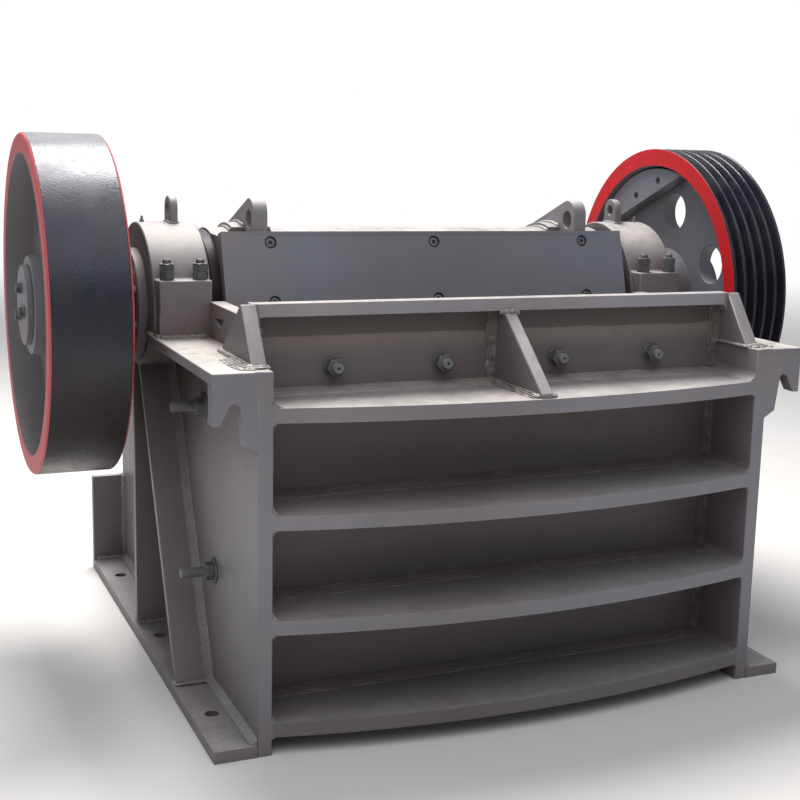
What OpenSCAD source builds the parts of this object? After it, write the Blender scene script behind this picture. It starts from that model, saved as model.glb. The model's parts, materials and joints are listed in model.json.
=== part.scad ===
// Jaw crusher with a wide, shallow feed mouth, in millimetres.
// X runs across the machine, Y from the ribbed front to the rear, Z up from the foot underside.

/* [Frame box] */
// Width over the two side plates
frame_w = 1400; // [1300:1:1500]
// Thickness of each side plate
side_t = 36; // [28:1:44]
// Length of the side plates and foot plates
frame_len = 1574; // [1540:1:1660]
// Height of the deck and of the bearing seats
deck_z = 920; // [900:1:930]
// Height of the side plates at the rear end
rear_z = 420; // [380:1:500]
// Height of the horns and of the front wall
horn_z = 1054; // [1045:1:1080]
// Distance of the front wall behind the front edges
wall_y = 190; // [170:1:200]
// Thickness of the front wall
wall_t = 40; // [30:1:44]
// Height of the front wall's lower edge
wall_foot_z = 43; // [35:1:60]

/* [Feet and deck] */
// Width of each foot plate
foot_w = 104; // [98:1:112]
// Thickness of each foot plate
foot_t = 30; // [24:1:36]
// Diameter of the foundation bolt holes
foot_hole_d = 36; // [30:1:42]
// Distance from the side plate's outer face to the bolt holes
foot_hole_out = 53; // [46:1:60]
// Spacing of the bolt holes along the machine
foot_pitch = 573; // [540:1:620]
// Overhang of the deck flanges
deck_out = 107; // [98:1:108]
// Thickness of the deck flanges
deck_t = 26; // [20:1:32]
// Thickness of the lifting hooks
hook_t = 40; // [30:1:50]
// Thickness of the upright stiffeners outside the side plates
side_rib_t = 25; // [18:1:30]
// Width of the upright stiffeners outside the side plates
side_rib_w = 95; // [80:1:98]

/* [Front ribs] */
// Height of the highest curved rib's top face
rib_top_z = 836; // [820:1:850]
// Spacing of the curved ribs
rib_pitch = 252; // [240:1:258]
// Thickness of the curved ribs
rib_t = 35; // [28:1:40]
// How far the curved ribs bulge past the front edges at mid width
rib_bulge = 75; // [40:1:90]
// Radius of the fillets in the pocket corners
pocket_r = 28; // [15:1:36]
// Radius of the fillets under the curved ribs
under_rib_r = 16; // [10:1:20]
// Height of the straight rib at the top
top_rib_t = 31; // [26:1:38]
// Distance of the straight rib's front face behind the front edges
top_rib_y = 147; // [135:1:150]
// How far the front wall stops below the straight rib's top
wall_step = 14; // [6:1:18]
// Thickness of the slanted middle rib
centre_rib_t = 34; // [26:1:44]

/* [Shaft and bearings] */
// Distance of the shaft behind the front edges
shaft_y = 819; // [815:1:825]
// Height of the shaft above the foot underside
shaft_z = 984; // [980:1:992]
// Diameter of the main journals
journal_d = 190; // [180:1:200]
// Diameter of the shaft inside the swing jaw
barrel_shaft_d = 260; // [250:1:270]
// Diameter of the wheel seats
seat_d = 170; // [160:1:176]
// Radial running clearance of the journals
run_gap = 0.05; // [0.02:0.01:0.09]
// Outer diameter of the bearing caps
cap_d = 441; // [434:1:446]
// Length of each bearing along the shaft
bearing_len = 155; // [150:1:156]
// How far each bearing reaches inside the side plate's inner face
bearing_inset = 17; // [14:1:18]
// Height of the cap's bolting lugs above the split
lug_h = 84; // [76:1:92]
// Length of the bolting lugs in front of and behind the shaft
lug_reach = 254; // [252:1:262]
// Width of the bolting lugs
lug_w = 140; // [134:1:146]
// Spacing of the two studs on each lug
stud_span = 88; // [80:1:90]
// Diameter of the housing under the split
under_d = 340; // [330:1:350]
// Diameter of the cap studs
cap_stud_d = 24; // [20:1:26]
// Thickness of the lifting eyes on the bearing caps
cap_eye_t = 22; // [16:1:28]
// Outer radius of the lifting eyes on the bearing caps
cap_eye_r = 34; // [30:1:38]
// Diameter of the holes in the lifting eyes on the bearing caps
cap_eye_hole_d = 30; // [24:1:34]

/* [Wheels] */
// Outer diameter of both wheels
wheel_d = 902; // [880:1:920]
// Width of the flywheel
flywheel_w = 203; // [190:1:215]
// Distance between the flywheel and the bearing beside it
flywheel_gap = 95; // [86:1:105]
// Width of the grooved pulley
pulley_w = 189; // [184:1:200]
// Distance between the pulley and the bearing beside it
pulley_gap = 50; // [44:1:60]
// Rim thickness of both wheels
rim_t = 52; // [46:1:58]
// Hub diameter of both wheels
hub_d = 260; // [240:1:280]
// Thickness of both webs
web_t = 42; // [36:1:50]
// Number of belt grooves
groove_n = 5; // [4:1:5]
// Spacing of the belt grooves
groove_pitch = 36; // [34:1:37]
// Depth of the belt grooves
groove_depth = 24; // [20:1:28]
// Number of round holes in the pulley's web
web_hole_n = 6; // [4:1:6]
// Diameter of the round holes in the pulley's web
web_hole_d = 116; // [100:1:125]
// Radius of the circle that the web holes lie on
web_hole_r = 256; // [250:1:262]
// Depth of the counterweights from their straight edge to the rim
weight_depth = 95; // [80:1:105]
// How far the hubs stop short of the rims' outer faces
hub_step = 12; // [6:1:18]
// Diameter of the retaining discs on the shaft ends
end_disc_d = 211; // [196:1:220]
// Thickness of the retaining discs
end_disc_t = 16; // [12:1:20]
// Radius of the circle that the retaining discs' bolts lie on
end_bolt_r = 45; // [38:1:55]

/* [Swing jaw] */
// Lean of the swing jaw from the vertical, in degrees
jaw_tilt = 16; // [15.5:0.1:16.3]
// Outer diameter of the swing jaw's barrel
barrel_d = 410; // [404:1:416]
// Clearance between the swing jaw's casting and each cheek plate
pitman_gap = 12; // [10:0.5:14]
// Thickness of the swing jaw's front plate
pitman_plate_t = 58; // [48:1:66]
// Length of the swing jaw below the shaft
pitman_len = 842; // [832:1:848]
// Thickness of the swing jaw's ribs
pitman_rib_t = 36; // [28:1:44]
// Number of ribs behind the swing jaw's front plate
pitman_rib_n = 5; // [3:1:7]
// How far the cover plate stands past each end of the casting
cover_over = 3; // [0:0.5:4]
// Height of the cover plate along its slope
cover_h = 232; // [226:1:238]
// Thickness of the cover plate
cover_t = 32; // [26:1:36]
// Thickness of the lifting eyes on the barrel
lug_t = 40; // [32:1:48]
// Spacing of the lifting eyes
lug_spacing = 992; // [900:1:1040]
// Diameter of the lifting eyes' holes
lug_hole_d = 52; // [46:1:56]
// Thickness of the saddles under the lifting eyes
saddle_t = 14; // [10:1:18]
// Width of the saddles under the lifting eyes
saddle_w = 112; // [90:1:130]

/* [Jaw plates] */
// Thickness of the fixed jaw plate at its crests
fixed_jaw_t = 60; // [54:1:64]
// Thickness of the swing jaw plate at its crests
swing_jaw_t = 68; // [60:1:70]
// Depth of the teeth
tooth_depth = 26; // [18:1:30]
// Number of teeth across a plate
tooth_n = 24; // [18:1:28]
// Height of the fixed jaw plate's lower edge
fixed_jaw_z = 260; // [240:1:300]
// Height of the fixed jaw plate
fixed_jaw_h = 750; // [720:1:780]
// Thickness of the cheek plates
cheek_t = 40; // [34:1:44]
// Height of the cheek plates' top edge
cheek_top = 1013; // [1000:1:1020]
// Height of the cheek plates' lower edge
cheek_z = 240; // [225:1:260]
// Distance of the cheek plates' lower rear corner behind the front edges
cheek_foot_y = 440; // [425:1:450]
// Clearance between the swing jaw plate and each cheek plate
cheek_gap = 6; // [5.5:0.5:8]
// Spacing of the fixed jaw's outer bolts
jaw_bolt_span = 910; // [860:1:960]
// Spacing of the fixed jaw's inner bolts
jaw_bolt_inner = 330; // [280:1:380]
// Height of the fixed jaw's bolts
jaw_bolt_z = 893; // [886:1:900]
// Diameter of the jaw and cheek bolts
bolt_d = 27; // [24:1:30]

/* [Toggle] */
// Distance of the rear wall behind the front edges
rear_wall_y = 1230; // [1220:1:1250]
// Thickness of the rear wall
rear_wall_t = 40; // [30:1:46]
// Height of the rear wall's top edge
rear_wall_z = 640; // [600:1:670]
// Width of the toggle plate
toggle_w = 1000; // [900:2:1060]
// Thickness of the toggle plate
toggle_t = 34; // [26:1:38]
// Diameter of the toggle plate's rounded ends
toggle_end_d = 46; // [42:1:50]
// Diameter of the tension rod
rod_d = 36; // [30:1:40]
// Height of the tension rod
rod_z = 168; // [160:1:176]
// Wire diameter of the tension spring
spring_wire = 18; // [14:1:20]
// Number of turns of the tension spring
spring_turns = 6; // [5:1:8]
// Length of the tension spring
spring_len = 170; // [150:1:180]

/* [Hidden] */
$fn = 96;

paint = "slategray";
bare = "silver";
dark = "#26262c";

// Faces of the frame
out_x = frame_w / 2;
in_x = out_x - side_t;
wall_back = wall_y + wall_t;
fit_gap = 0.3;
hole_gap = 0.5;

// Horns at the front of the side plates
horn_foot_y = 50;
horn_tip_w = 8;
horn_back_y = 318;
seat_back = shaft_y + lug_reach + 6;

// Fastener proportions
washer_t = 6;
washer_d = bolt_d + 27;
nut_h = 22;
nut_d = bolt_d + 21;
head_d = 2 * bolt_d;
head_h = 18;
jaw_bolt_out = 16;
stud_out = 90;

// Foot bolts
foot_hole_x = out_x + foot_hole_out;

// Stiffeners outside the side plates
slant_rib_y = 410;
slant_rib_z = shaft_z - 124;
end_rib_h = 287;

// Ribs behind the rear wall, as heights of their tops and depths
rear_ribs_zy = [[78, 200], [330, 190], [560, 120]];

// Pocket in each cheek plate's outer face, as distances behind the front edges and below its top
cheek_notch_yz = [[514, -39], [420, -31], [460, -57]];
notch_t = 12;

// Cheek bolts, as distances behind the front edges and heights
cheek_bolts_yz = [[475, 756], [381, 343]];

// Bearings
split_z = shaft_z;
bearing_in = in_x - bearing_inset;
bearing_out = bearing_in + bearing_len;
bearing_mid = bearing_in + bearing_len / 2;
stud_y = lug_reach - 27;
stud_down = 44;
cover_ring_t = 24;
cover_ring_d = 300;
cap_nut_d = cap_stud_d + 18;
cap_nut_h = 22;
cap_eye_in = 21;
cap_eye_z = 37;

// Wheels
rim_in = wheel_d / 2 - rim_t;
bore_r = seat_d / 2 + run_gap;
flywheel_in = bearing_out + flywheel_gap;
pulley_in = bearing_out + pulley_gap;
flywheel_out = flywheel_in + flywheel_w;
flywheel_web_in = (flywheel_w - web_t) / 2;
pulley_out = pulley_in + pulley_w;
pulley_web_in = 66;
weight_bolt_pitch = 132;
weight_bolt_in = 30;
weight_room = 9;
weight_chord = rim_in - weight_room - weight_depth;
web_hole_turn = 6;
pulley_weight_angle = 67;
flywheel_weight_angle = 113;
weight_t = 50;

// Swing jaw, in a frame turned with it about the shaft
barrel_r = barrel_d / 2;
pitman_w = 2 * (in_x - cheek_t - pitman_gap);
cover_w = pitman_w + 2 * cover_over;
cover_top = 146;
jaw_top = cover_top - cover_h - 2;
ledge_h = 26;
jaw_half = in_x - cheek_t - cheek_gap;
toggle_seat_y = 20;
toggle_seat_z = -765;
toggle_room = 15;
beam_half = 65;
saddle_front = 107;
saddle_rear = 34;
screw_d = 20;
screw_head_d = 30;
screw_x = [-480, 0, 480];
screw_z = [cover_top - 30, cover_top - 192];
lug_eye = [-109, 234];
chin_y = -118;

// Toggle ends, as distances behind the front edges and heights
toggle_front = [
    shaft_y + toggle_seat_y * cos(jaw_tilt) + toggle_seat_z * sin(jaw_tilt) + 6,
    shaft_z - toggle_seat_y * sin(jaw_tilt) + toggle_seat_z * cos(jaw_tilt)
];
block_t = 85;
shim_t = 70;
block_y = rear_wall_y - shim_t - block_t;
shelf_z = 300;
shelf_t = 36;
block_h = 96;
toggle_rear = [block_y, shelf_z + shelf_t + block_h / 2];

// Tension rod
rod_pin_y = shaft_y + -40 * cos(jaw_tilt) - 830 * sin(jaw_tilt);
rod_slot_w = 64;
rod_lug_t = 26;
rod_lug_r = 40;
rod_pin_d = 30;
rod_pin_half = rod_slot_w / 2 + rod_lug_t + 2;
rod_room = 14;
rod_nut_h = 56;
plate_t = 12;
spring_y = rear_wall_y + rear_wall_t + rod_room + plate_t;
spring_r = 44;
spring_plate_d = 2 * spring_r + spring_wire + 14;
rod_end_y = spring_y + spring_len + plate_t + rod_nut_h + 16;

// Places a profile drawn in Y and Z between two X values
module along_x(x0, x1) {
    translate([x0, 0, 0]) rotate([90, 0, 90]) linear_extrude(x1 - x0) children();
}

// Places a profile drawn in X and Z between two Y values
module along_y(y0, y1) {
    translate([0, y1, 0]) rotate([90, 0, 0]) linear_extrude(y1 - y0) children();
}

// Moves the front edge plane to its place ahead of the foot bolts' centre
module place() {
    translate([0, -frame_len / 2, 0]) children();
}

module on_left() {
    mirror([1, 0, 0]) children();
}

module both_sides() {
    children();
    mirror([1, 0, 0]) children();
}

// Turns Z of the children to point along X on the shaft axis
module on_shaft(x = 0) {
    translate([x, shaft_y, shaft_z]) rotate([0, 90, 0]) children();
}

// Frame of the swing jaw: its Z runs up along the jaw, its Y to the rear
module on_jaw() {
    translate([0, shaft_y, shaft_z]) rotate([-jaw_tilt, 0, 0]) children();
}

// Cylinder along Y between two distances
module rod_y(d, y0, y1) {
    translate([0, y0, 0]) rotate([-90, 0, 0]) cylinder(d = d, h = y1 - y0);
}

// Cylinder along X between two distances
module rod_x(d, x0, x1) {
    translate([x0, 0, 0]) rotate([0, 90, 0]) cylinder(d = d, h = x1 - x0);
}

// Hexagonal nut across the corners
module nut(d, h) {
    cylinder(d = d, h = h, $fn = 6);
}

// Trapezoid teeth along X, from root to crest, as a closed outline with a flat back
function tooth_points(half, n, root, depth, shift) = let(p = 2 * half / n) [
    for (i = [0 : n - 1]) let(x = -half + i * p)
        each [
            [x, shift ? root + depth : root],
            [x + 0.15 * p, shift ? root + depth : root],
            [x + 0.35 * p, shift ? root : root + depth],
            [x + 0.65 * p, shift ? root : root + depth],
            [x + 0.85 * p, shift ? root + depth : root]
        ],
    [half, shift ? root + depth : root]
];

module toothed(half, n, t, depth, shift) {
    polygon(concat([[half, 0], [-half, 0]], tooth_points(half, n, t - depth, depth, shift)));
}

// Outline of a side plate in Y and Z
module side_outline() {
    difference() {
        polygon([
            [0, 0], [0, deck_z], [horn_foot_y, deck_z],
            [top_rib_y - 2, horn_z], [top_rib_y - 2 + horn_tip_w, horn_z],
            [horn_back_y, deck_z], [seat_back, deck_z],
            [frame_len, rear_z], [frame_len, 0]
        ]);
        translate([shaft_y, shaft_z]) circle(d = under_d + 2 * fit_gap);
        for (p = cheek_bolts_yz) translate(p) circle(d = bolt_d + 2 * hole_gap);
    }
}

module side_plate() {
    color(paint) along_x(in_x, out_x) side_outline();
}

module foot_plate() {
    color(paint) difference() {
        translate([out_x, 0, 0]) cube([foot_w, frame_len, foot_t]);
        for (i = [-1, 0, 1])
            translate([foot_hole_x, frame_len / 2 + i * foot_pitch, -1])
                cylinder(d = foot_hole_d, h = foot_t + 2);
    }
}

module deck_flange() {
    difference() {
        translate([out_x, 0, deck_z - deck_t]) cube([deck_out, seat_back, deck_t]);
        on_shaft(out_x - 1) cylinder(d = under_d + 2 * fit_gap, h = deck_out + 2);
    }
}

// Hook plate under the front of the deck, open towards the side plate
module lifting_hook() {
    throat_r = 13;
    throat_z = -57;
    w = deck_out - 1;
    throat_x = w / 2 + 2;
    tip_z = -93;
    translate([out_x, 0, deck_z - deck_t]) along_y(0, hook_t) difference() {
        polygon([
            [0, 0], [w, 0], [w, tip_z], [w - 18, tip_z],
            [throat_x + throat_r, throat_z], [throat_x - throat_r, throat_z],
            [31, -141], [0, -159]
        ]);
        translate([throat_x, throat_z]) circle(r = throat_r);
    }
}

// Slanted, upright and rear stiffeners on the foot plate
module side_ribs() {
    color(paint) {
        along_x(out_x, out_x + side_rib_w) difference() {
            union() {
                polygon([
                    [slant_rib_y, foot_t], [slant_rib_y + side_rib_t, foot_t],
                    [shaft_y + 20 + side_rib_t, slant_rib_z], [shaft_y + 20, slant_rib_z]
                ]);
                translate([shaft_y + 81, foot_t])
                    square([side_rib_t, slant_rib_z + 10 - foot_t]);
            }
            translate([shaft_y, shaft_z]) circle(d = under_d + 2 * fit_gap);
        }
        along_x(out_x, out_x + foot_w)
            translate([frame_len - side_rib_t, foot_t]) square([side_rib_t, end_rib_h]);
    }
}

function jaw_bolt_x() = [
    -jaw_bolt_span / 2, -jaw_bolt_inner / 2, jaw_bolt_inner / 2, jaw_bolt_span / 2
];

module front_wall() {
    color(paint) difference() {
        translate([-in_x, wall_y, wall_foot_z])
            cube([2 * in_x, wall_t, horn_z - wall_step - wall_foot_z]);
        for (x = jaw_bolt_x()) translate([x, 0, jaw_bolt_z])
            rod_y(bolt_d + 2 * hole_gap, wall_y - 1, wall_back + 1);
    }
}

// Horizontal rib with a front edge bowed by rib_bulge, and fillets in its pocket corners
module front_rib(i) {
    top = rib_top_z - i * rib_pitch;
    r = (pow(in_x, 2) + pow(rib_bulge, 2)) / (2 * rib_bulge);
    color(paint) {
        translate([0, 0, top - rib_t]) linear_extrude(rib_t) intersection() {
            translate([-in_x, -rib_bulge - 1]) square([2 * in_x, wall_y + rib_bulge + 1]);
            translate([0, r - rib_bulge]) circle(r = r, $fn = 360);
        }
        for (s = [-1, 1]) along_y(1, wall_y) {
            corner_fillet(s * in_x, top, -s, 1, pocket_r);
            if (top - rib_t - under_rib_r > foot_t)
                corner_fillet(s * in_x, top - rib_t, -s, -1, under_rib_r);
        }
    }
}

// Concave fillet in the corner at x, z, reaching towards sx and sz, with blunt toes
module corner_fillet(x, z, sx, sz, r) {
    translate([x, z]) mirror([sx < 0 ? 1 : 0, 0]) mirror([0, sz < 0 ? 1 : 0]) difference() {
        square(0.85 * r);
        translate([r, r]) circle(r = r);
    }
}

module front_top_rib() {
    color(paint) {
        translate([-in_x, top_rib_y, horn_z - top_rib_t])
            cube([2 * in_x, wall_y - top_rib_y, top_rib_t]);
        for (s = [-1, 1]) along_y(top_rib_y, wall_y)
            corner_fillet(s * in_x, horn_z - top_rib_t, -s, -1, under_rib_r + 4);
    }
}

// Slanted gusset from the straight rib down to the highest curved rib
module front_centre_rib() {
    color(paint) along_x(-centre_rib_t / 2, centre_rib_t / 2) polygon([
        [wall_y, rib_top_z], [-rib_bulge + 8, rib_top_z], [-rib_bulge + 8, rib_top_z + 10],
        [top_rib_y, horn_z - top_rib_t], [wall_y, horn_z - top_rib_t]
    ]);
}

module rear_wall() {
    color(paint) difference() {
        translate([-in_x, rear_wall_y, wall_foot_z])
            cube([2 * in_x, rear_wall_t, rear_wall_z - wall_foot_z]);
        translate([0, 0, rod_z])
            rod_y(rod_d + 2 * rod_room, rear_wall_y - 1, rear_wall_y + rear_wall_t + 1);
    }
}

module rear_ribs() {
    y0 = rear_wall_y + rear_wall_t;
    color(paint) for (p = rear_ribs_zy)
        translate([-in_x, y0, p[0] - rib_t]) cube([2 * in_x, p[1], rib_t]);
}

// Shelf and end cheeks that carry the adjusting block
module toggle_shelf() {
    color(paint) translate([-in_x, block_y - 20, shelf_z])
        cube([2 * in_x, rear_wall_y - block_y + 20, shelf_t]);
}

module adjusting_block() {
    color("dimgray") along_x(-toggle_w / 2 - 30, toggle_w / 2 + 30) difference() {
        translate([block_y, shelf_z + shelf_t]) square([block_t, block_h]);
        translate(toggle_rear) circle(d = toggle_end_d + 2 * fit_gap);
    }
}

module shim_pack() {
    color("dimgray") translate([-toggle_w / 2, block_y + block_t, shelf_z + shelf_t])
        cube([toggle_w, shim_t, block_h - 10]);
}

// Plate with rounded ends between the swing jaw and the adjusting block
module toggle_plate() {
    d = toggle_rear - toggle_front;
    color("dimgray") along_x(-toggle_w / 2, toggle_w / 2) {
        translate(toggle_front) circle(d = toggle_end_d);
        translate(toggle_rear) circle(d = toggle_end_d);
        translate(toggle_front) rotate(atan2(d[1], d[0]))
            translate([0, -toggle_t / 2]) square([norm(d), toggle_t]);
    }
}

module fixed_jaw_plate() {
    color("gray") difference() {
        translate([0, wall_back, fixed_jaw_z]) linear_extrude(fixed_jaw_h)
            toothed(in_x - cheek_t - 2, tooth_n, fixed_jaw_t, tooth_depth, false);
        for (x = jaw_bolt_x()) translate([x, 0, jaw_bolt_z]) {
            rod_y(bolt_d + 2 * hole_gap, wall_back - 1, wall_back + fixed_jaw_t + 1);
            rod_y(head_d + 4, wall_back + fixed_jaw_t - tooth_depth - head_h,
                wall_back + fixed_jaw_t + 1);
        }
    }
}

module cheek_plate() {
    color(paint) difference() {
        along_x(in_x - cheek_t, in_x)
            polygon([
                [wall_back, cheek_top], [shaft_y - lug_reach - 6, cheek_top],
                [cheek_foot_y, cheek_z], [wall_back, cheek_z]
            ]);
        for (p = cheek_bolts_yz) translate([0, p[0], p[1]]) {
            rod_x(bolt_d + 2 * hole_gap, in_x - cheek_t - 1, in_x + 1);
            rod_x(head_d + 4, in_x - cheek_t - 1, in_x - cheek_t + head_h);
        }
        along_x(in_x - notch_t, in_x + 1)
            polygon([for (p = cheek_notch_yz) [p[0], cheek_top + p[1]]]);
    }
}

// Bolts that hold the fixed jaw plate, with washer and nut on the front wall
module jaw_bolts() {
    head_y = wall_back + fixed_jaw_t - tooth_depth - head_h;
    color(bare) for (x = jaw_bolt_x()) translate([x, 0, jaw_bolt_z]) {
        rod_y(bolt_d, wall_y - washer_t - nut_h - jaw_bolt_out, head_y + 1);
        rod_y(head_d, head_y, head_y + head_h);
        rod_y(washer_d, wall_y - washer_t, wall_y);
        translate([0, wall_y - washer_t, 0]) rotate([90, 0, 0]) nut(nut_d, nut_h);
    }
}

module cheek_bolt_set() {
    for (p = cheek_bolts_yz) translate([0, p[0], p[1]]) {
        rod_x(bolt_d, in_x - cheek_t + 1, out_x + stud_out);
        rod_x(head_d, in_x - cheek_t, in_x - cheek_t + head_h);
        rod_x(washer_d, out_x, out_x + washer_t);
        translate([out_x + washer_t, 0, 0]) rotate([0, 90, 0]) nut(nut_d, nut_h);
    }
}

// Round body of a bearing, cut at the split
module bearing_body(upper) {
    intersection() {
        on_shaft(bearing_in) cylinder(d = cap_d, h = bearing_len);
        translate([0, shaft_y - cap_d, upper ? split_z : deck_z])
            cube([frame_w, 2 * cap_d, upper ? cap_d : split_z - deck_z]);
    }
}

module stud_places() {
    for (x = [-1, 1]) for (s = [-1, 1])
        translate([bearing_mid + x * stud_span / 2, shaft_y + s * stud_y, 0]) children();
}

// Lower half of a bearing, let into the side plate
module bearing_block() {
    color(paint) difference() {
        union() {
            bearing_body(false);
            translate([bearing_mid - lug_w / 2, shaft_y - lug_reach, deck_z])
                cube([lug_w, 2 * lug_reach, split_z - deck_z]);
            intersection() {
                on_shaft(in_x) cylinder(d = under_d, h = bearing_out - in_x);
                translate([0, shaft_y - under_d, shaft_z - under_d])
                    cube([frame_w, 2 * under_d, deck_z - shaft_z + under_d]);
            }
        }
        on_shaft(0) cylinder(d = journal_d + 2 * run_gap, h = frame_w);
        stud_places() translate([0, 0, split_z - stud_down])
            cylinder(d = cap_stud_d + 2 * fit_gap, h = stud_down + 1);
    }
}

// Upper half of a bearing with its bolting lugs
module bearing_cap() {
    color(paint) difference() {
        union() {
            bearing_body(true);
            translate([bearing_mid - lug_w / 2, shaft_y - lug_reach, split_z])
                cube([lug_w, 2 * lug_reach, lug_h]);
        }
        on_shaft(0) cylinder(d = journal_d + 2 * run_gap, h = frame_w);
        stud_places() translate([0, 0, split_z - 1])
            cylinder(d = cap_stud_d + 2 * fit_gap, h = lug_h + 2);
    }
}

module cap_stud_set() {
    stud_places() {
        translate([0, 0, split_z - stud_down])
            cylinder(d = cap_stud_d, h = stud_down + lug_h + 2 * cap_nut_h + 11);
        translate([0, 0, split_z + lug_h]) nut(cap_nut_d, cap_nut_h);
        translate([0, 0, split_z + lug_h + cap_nut_h]) rotate(9) nut(cap_nut_d, cap_nut_h);
    }
}

// Ring that closes the outer end of a bearing round the shaft
module bearing_cover_ring() {
    on_shaft(bearing_out) difference() {
        cylinder(d = cover_ring_d, h = cover_ring_t);
        translate([0, 0, -1]) cylinder(d = journal_d + 4, h = cover_ring_t + 2);
    }
}

// Round-topped lifting eye that stands on a bearing cap
module cap_eye() {
    x = bearing_mid - cap_eye_in - cap_eye_t / 2;
    top = cap_d / 2;
    translate([0, shaft_y, shaft_z]) along_x(x, x + cap_eye_t) difference() {
        union() {
            translate([0, top + cap_eye_z]) circle(r = cap_eye_r);
            translate([-cap_eye_r, top - 12]) square([2 * cap_eye_r, cap_eye_z + 12]);
        }
        circle(d = cap_d);
        translate([0, top + cap_eye_z]) circle(d = cap_eye_hole_d);
    }
}

// Stepped shaft along the whole machine, thickest inside the swing jaw
module eccentric_shaft() {
    half = pitman_w / 2;
    journal_end = bearing_out + cover_ring_t + 4;
    left_end = -flywheel_out + hub_step;
    right_end = pulley_out - hub_step;
    color(bare) on_shaft(0) rotate_extrude() polygon([
        [0, left_end], [seat_d / 2, left_end], [seat_d / 2, -flywheel_in],
        [seat_d / 2 + 18, -flywheel_in], [seat_d / 2 + 18, -journal_end],
        [journal_d / 2, -journal_end], [journal_d / 2, -bearing_in + 4],
        [journal_d / 2 + 12, -bearing_in + 4], [journal_d / 2 + 12, -half],
        [barrel_shaft_d / 2, -half], [barrel_shaft_d / 2, half],
        [journal_d / 2 + 12, half], [journal_d / 2 + 12, bearing_in - 4],
        [journal_d / 2, bearing_in - 4], [journal_d / 2, pulley_in],
        [seat_d / 2, pulley_in], [seat_d / 2, right_end], [0, right_end]
    ]);
}

// Solid-web wheel with recesses on both sides
module flywheel() {
    mid = flywheel_in + flywheel_w / 2;
    c = 5;
    color(dark) on_shaft(0) rotate_extrude($fn = 180) polygon([
        [bore_r, -flywheel_out + hub_step], [hub_d / 2, -flywheel_out + hub_step],
        [hub_d / 2 + 6, -mid - web_t / 2], [rim_in - 8, -mid - web_t / 2],
        [rim_in, -flywheel_out], [wheel_d / 2 - c, -flywheel_out],
        [wheel_d / 2, -flywheel_out + c], [wheel_d / 2, -flywheel_in - c],
        [wheel_d / 2 - c, -flywheel_in], [rim_in, -flywheel_in],
        [rim_in - 8, -mid + web_t / 2], [hub_d / 2 + 6, -mid + web_t / 2],
        [hub_d / 2, -flywheel_in], [bore_r, -flywheel_in]
    ]);
}

// Outline points of the V grooves between two lips
function groove_points() = let(
    r = wheel_d / 2,
    lip = (pulley_w - groove_n * groove_pitch) / 2
) [
    for (i = [0 : groove_n - 1]) let(x = pulley_in + lip + i * groove_pitch)
        each [
            [r, x + 2], [r - groove_depth, x + 0.34 * groove_pitch],
            [r - groove_depth, x + 0.66 * groove_pitch], [r, x + groove_pitch - 2]
        ]
];

// Belt pulley with V grooves, a holed web and a hub
module drive_pulley() {
    web_x = pulley_in + pulley_web_in;
    color(dark) difference() {
        on_shaft(0) rotate_extrude($fn = 180) polygon(concat(
            [
                [bore_r, pulley_in], [hub_d / 2, pulley_in], [hub_d / 2 + 6, web_x],
                [rim_in - 8, web_x], [rim_in, pulley_in], [wheel_d / 2, pulley_in]
            ],
            groove_points(),
            [
                [wheel_d / 2, pulley_out], [rim_in, pulley_out],
                [rim_in - 8, web_x + web_t], [hub_d / 2 + 6, web_x + web_t],
                [hub_d / 2, pulley_out - hub_step], [bore_r, pulley_out - hub_step]
            ]
        ));
        for (i = [0 : web_hole_n - 1]) on_shaft(web_x - 1)
            rotate(i * 360 / web_hole_n + web_hole_turn)
                translate([web_hole_r, 0, 0]) cylinder(d = web_hole_d, h = web_t + 2);
    }
}

// Segment bolted to a wheel's web inside the rim, its middle at an angle above +Y
module counterweight(x0, angle) {
    weight_r = rim_in - weight_room;
    on_shaft(x0) rotate(angle) difference() {
        intersection() {
            cylinder(r = weight_r, h = weight_t, $fn = 180);
            translate([-weight_r - 1, weight_chord, -1])
                cube([2 * weight_r + 2, weight_r, weight_t + 2]);
        }
        for (s = [-1, 0, 1]) translate([s * weight_bolt_pitch, weight_chord + weight_bolt_in, -1])
            cylinder(d = 24, h = weight_t + 2);
    }
}

// Disc with three bolt heads on a shaft end, facing along s
module end_disc(x0, s) {
    bolt_h = 15;
    color(paint) on_shaft(x0) {
        translate([0, 0, s > 0 ? 0 : -end_disc_t]) cylinder(d = end_disc_d, h = end_disc_t);
        for (i = [0 : 2]) rotate(120 * i + 48) translate([end_bolt_r, 0, 0])
            translate([0, 0, s > 0 ? end_disc_t : -end_disc_t - bolt_h]) nut(28, bolt_h);
    }
}

// Side outline of the swing jaw's solid parts, in its own frame
module jaw_outline() {
    circle(r = barrel_r);
    polygon([
        [-barrel_r, cover_top - 6], [chin_y, sqrt(pow(barrel_r, 2) - pow(chin_y, 2))],
        [0, 0], [-barrel_r + pitman_plate_t, -150],
        [-barrel_r + pitman_plate_t, -pitman_len - ledge_h],
        [-barrel_r - 40, -pitman_len - ledge_h], [-barrel_r - 40, -pitman_len],
        [-barrel_r, -pitman_len]
    ]);
}

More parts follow.
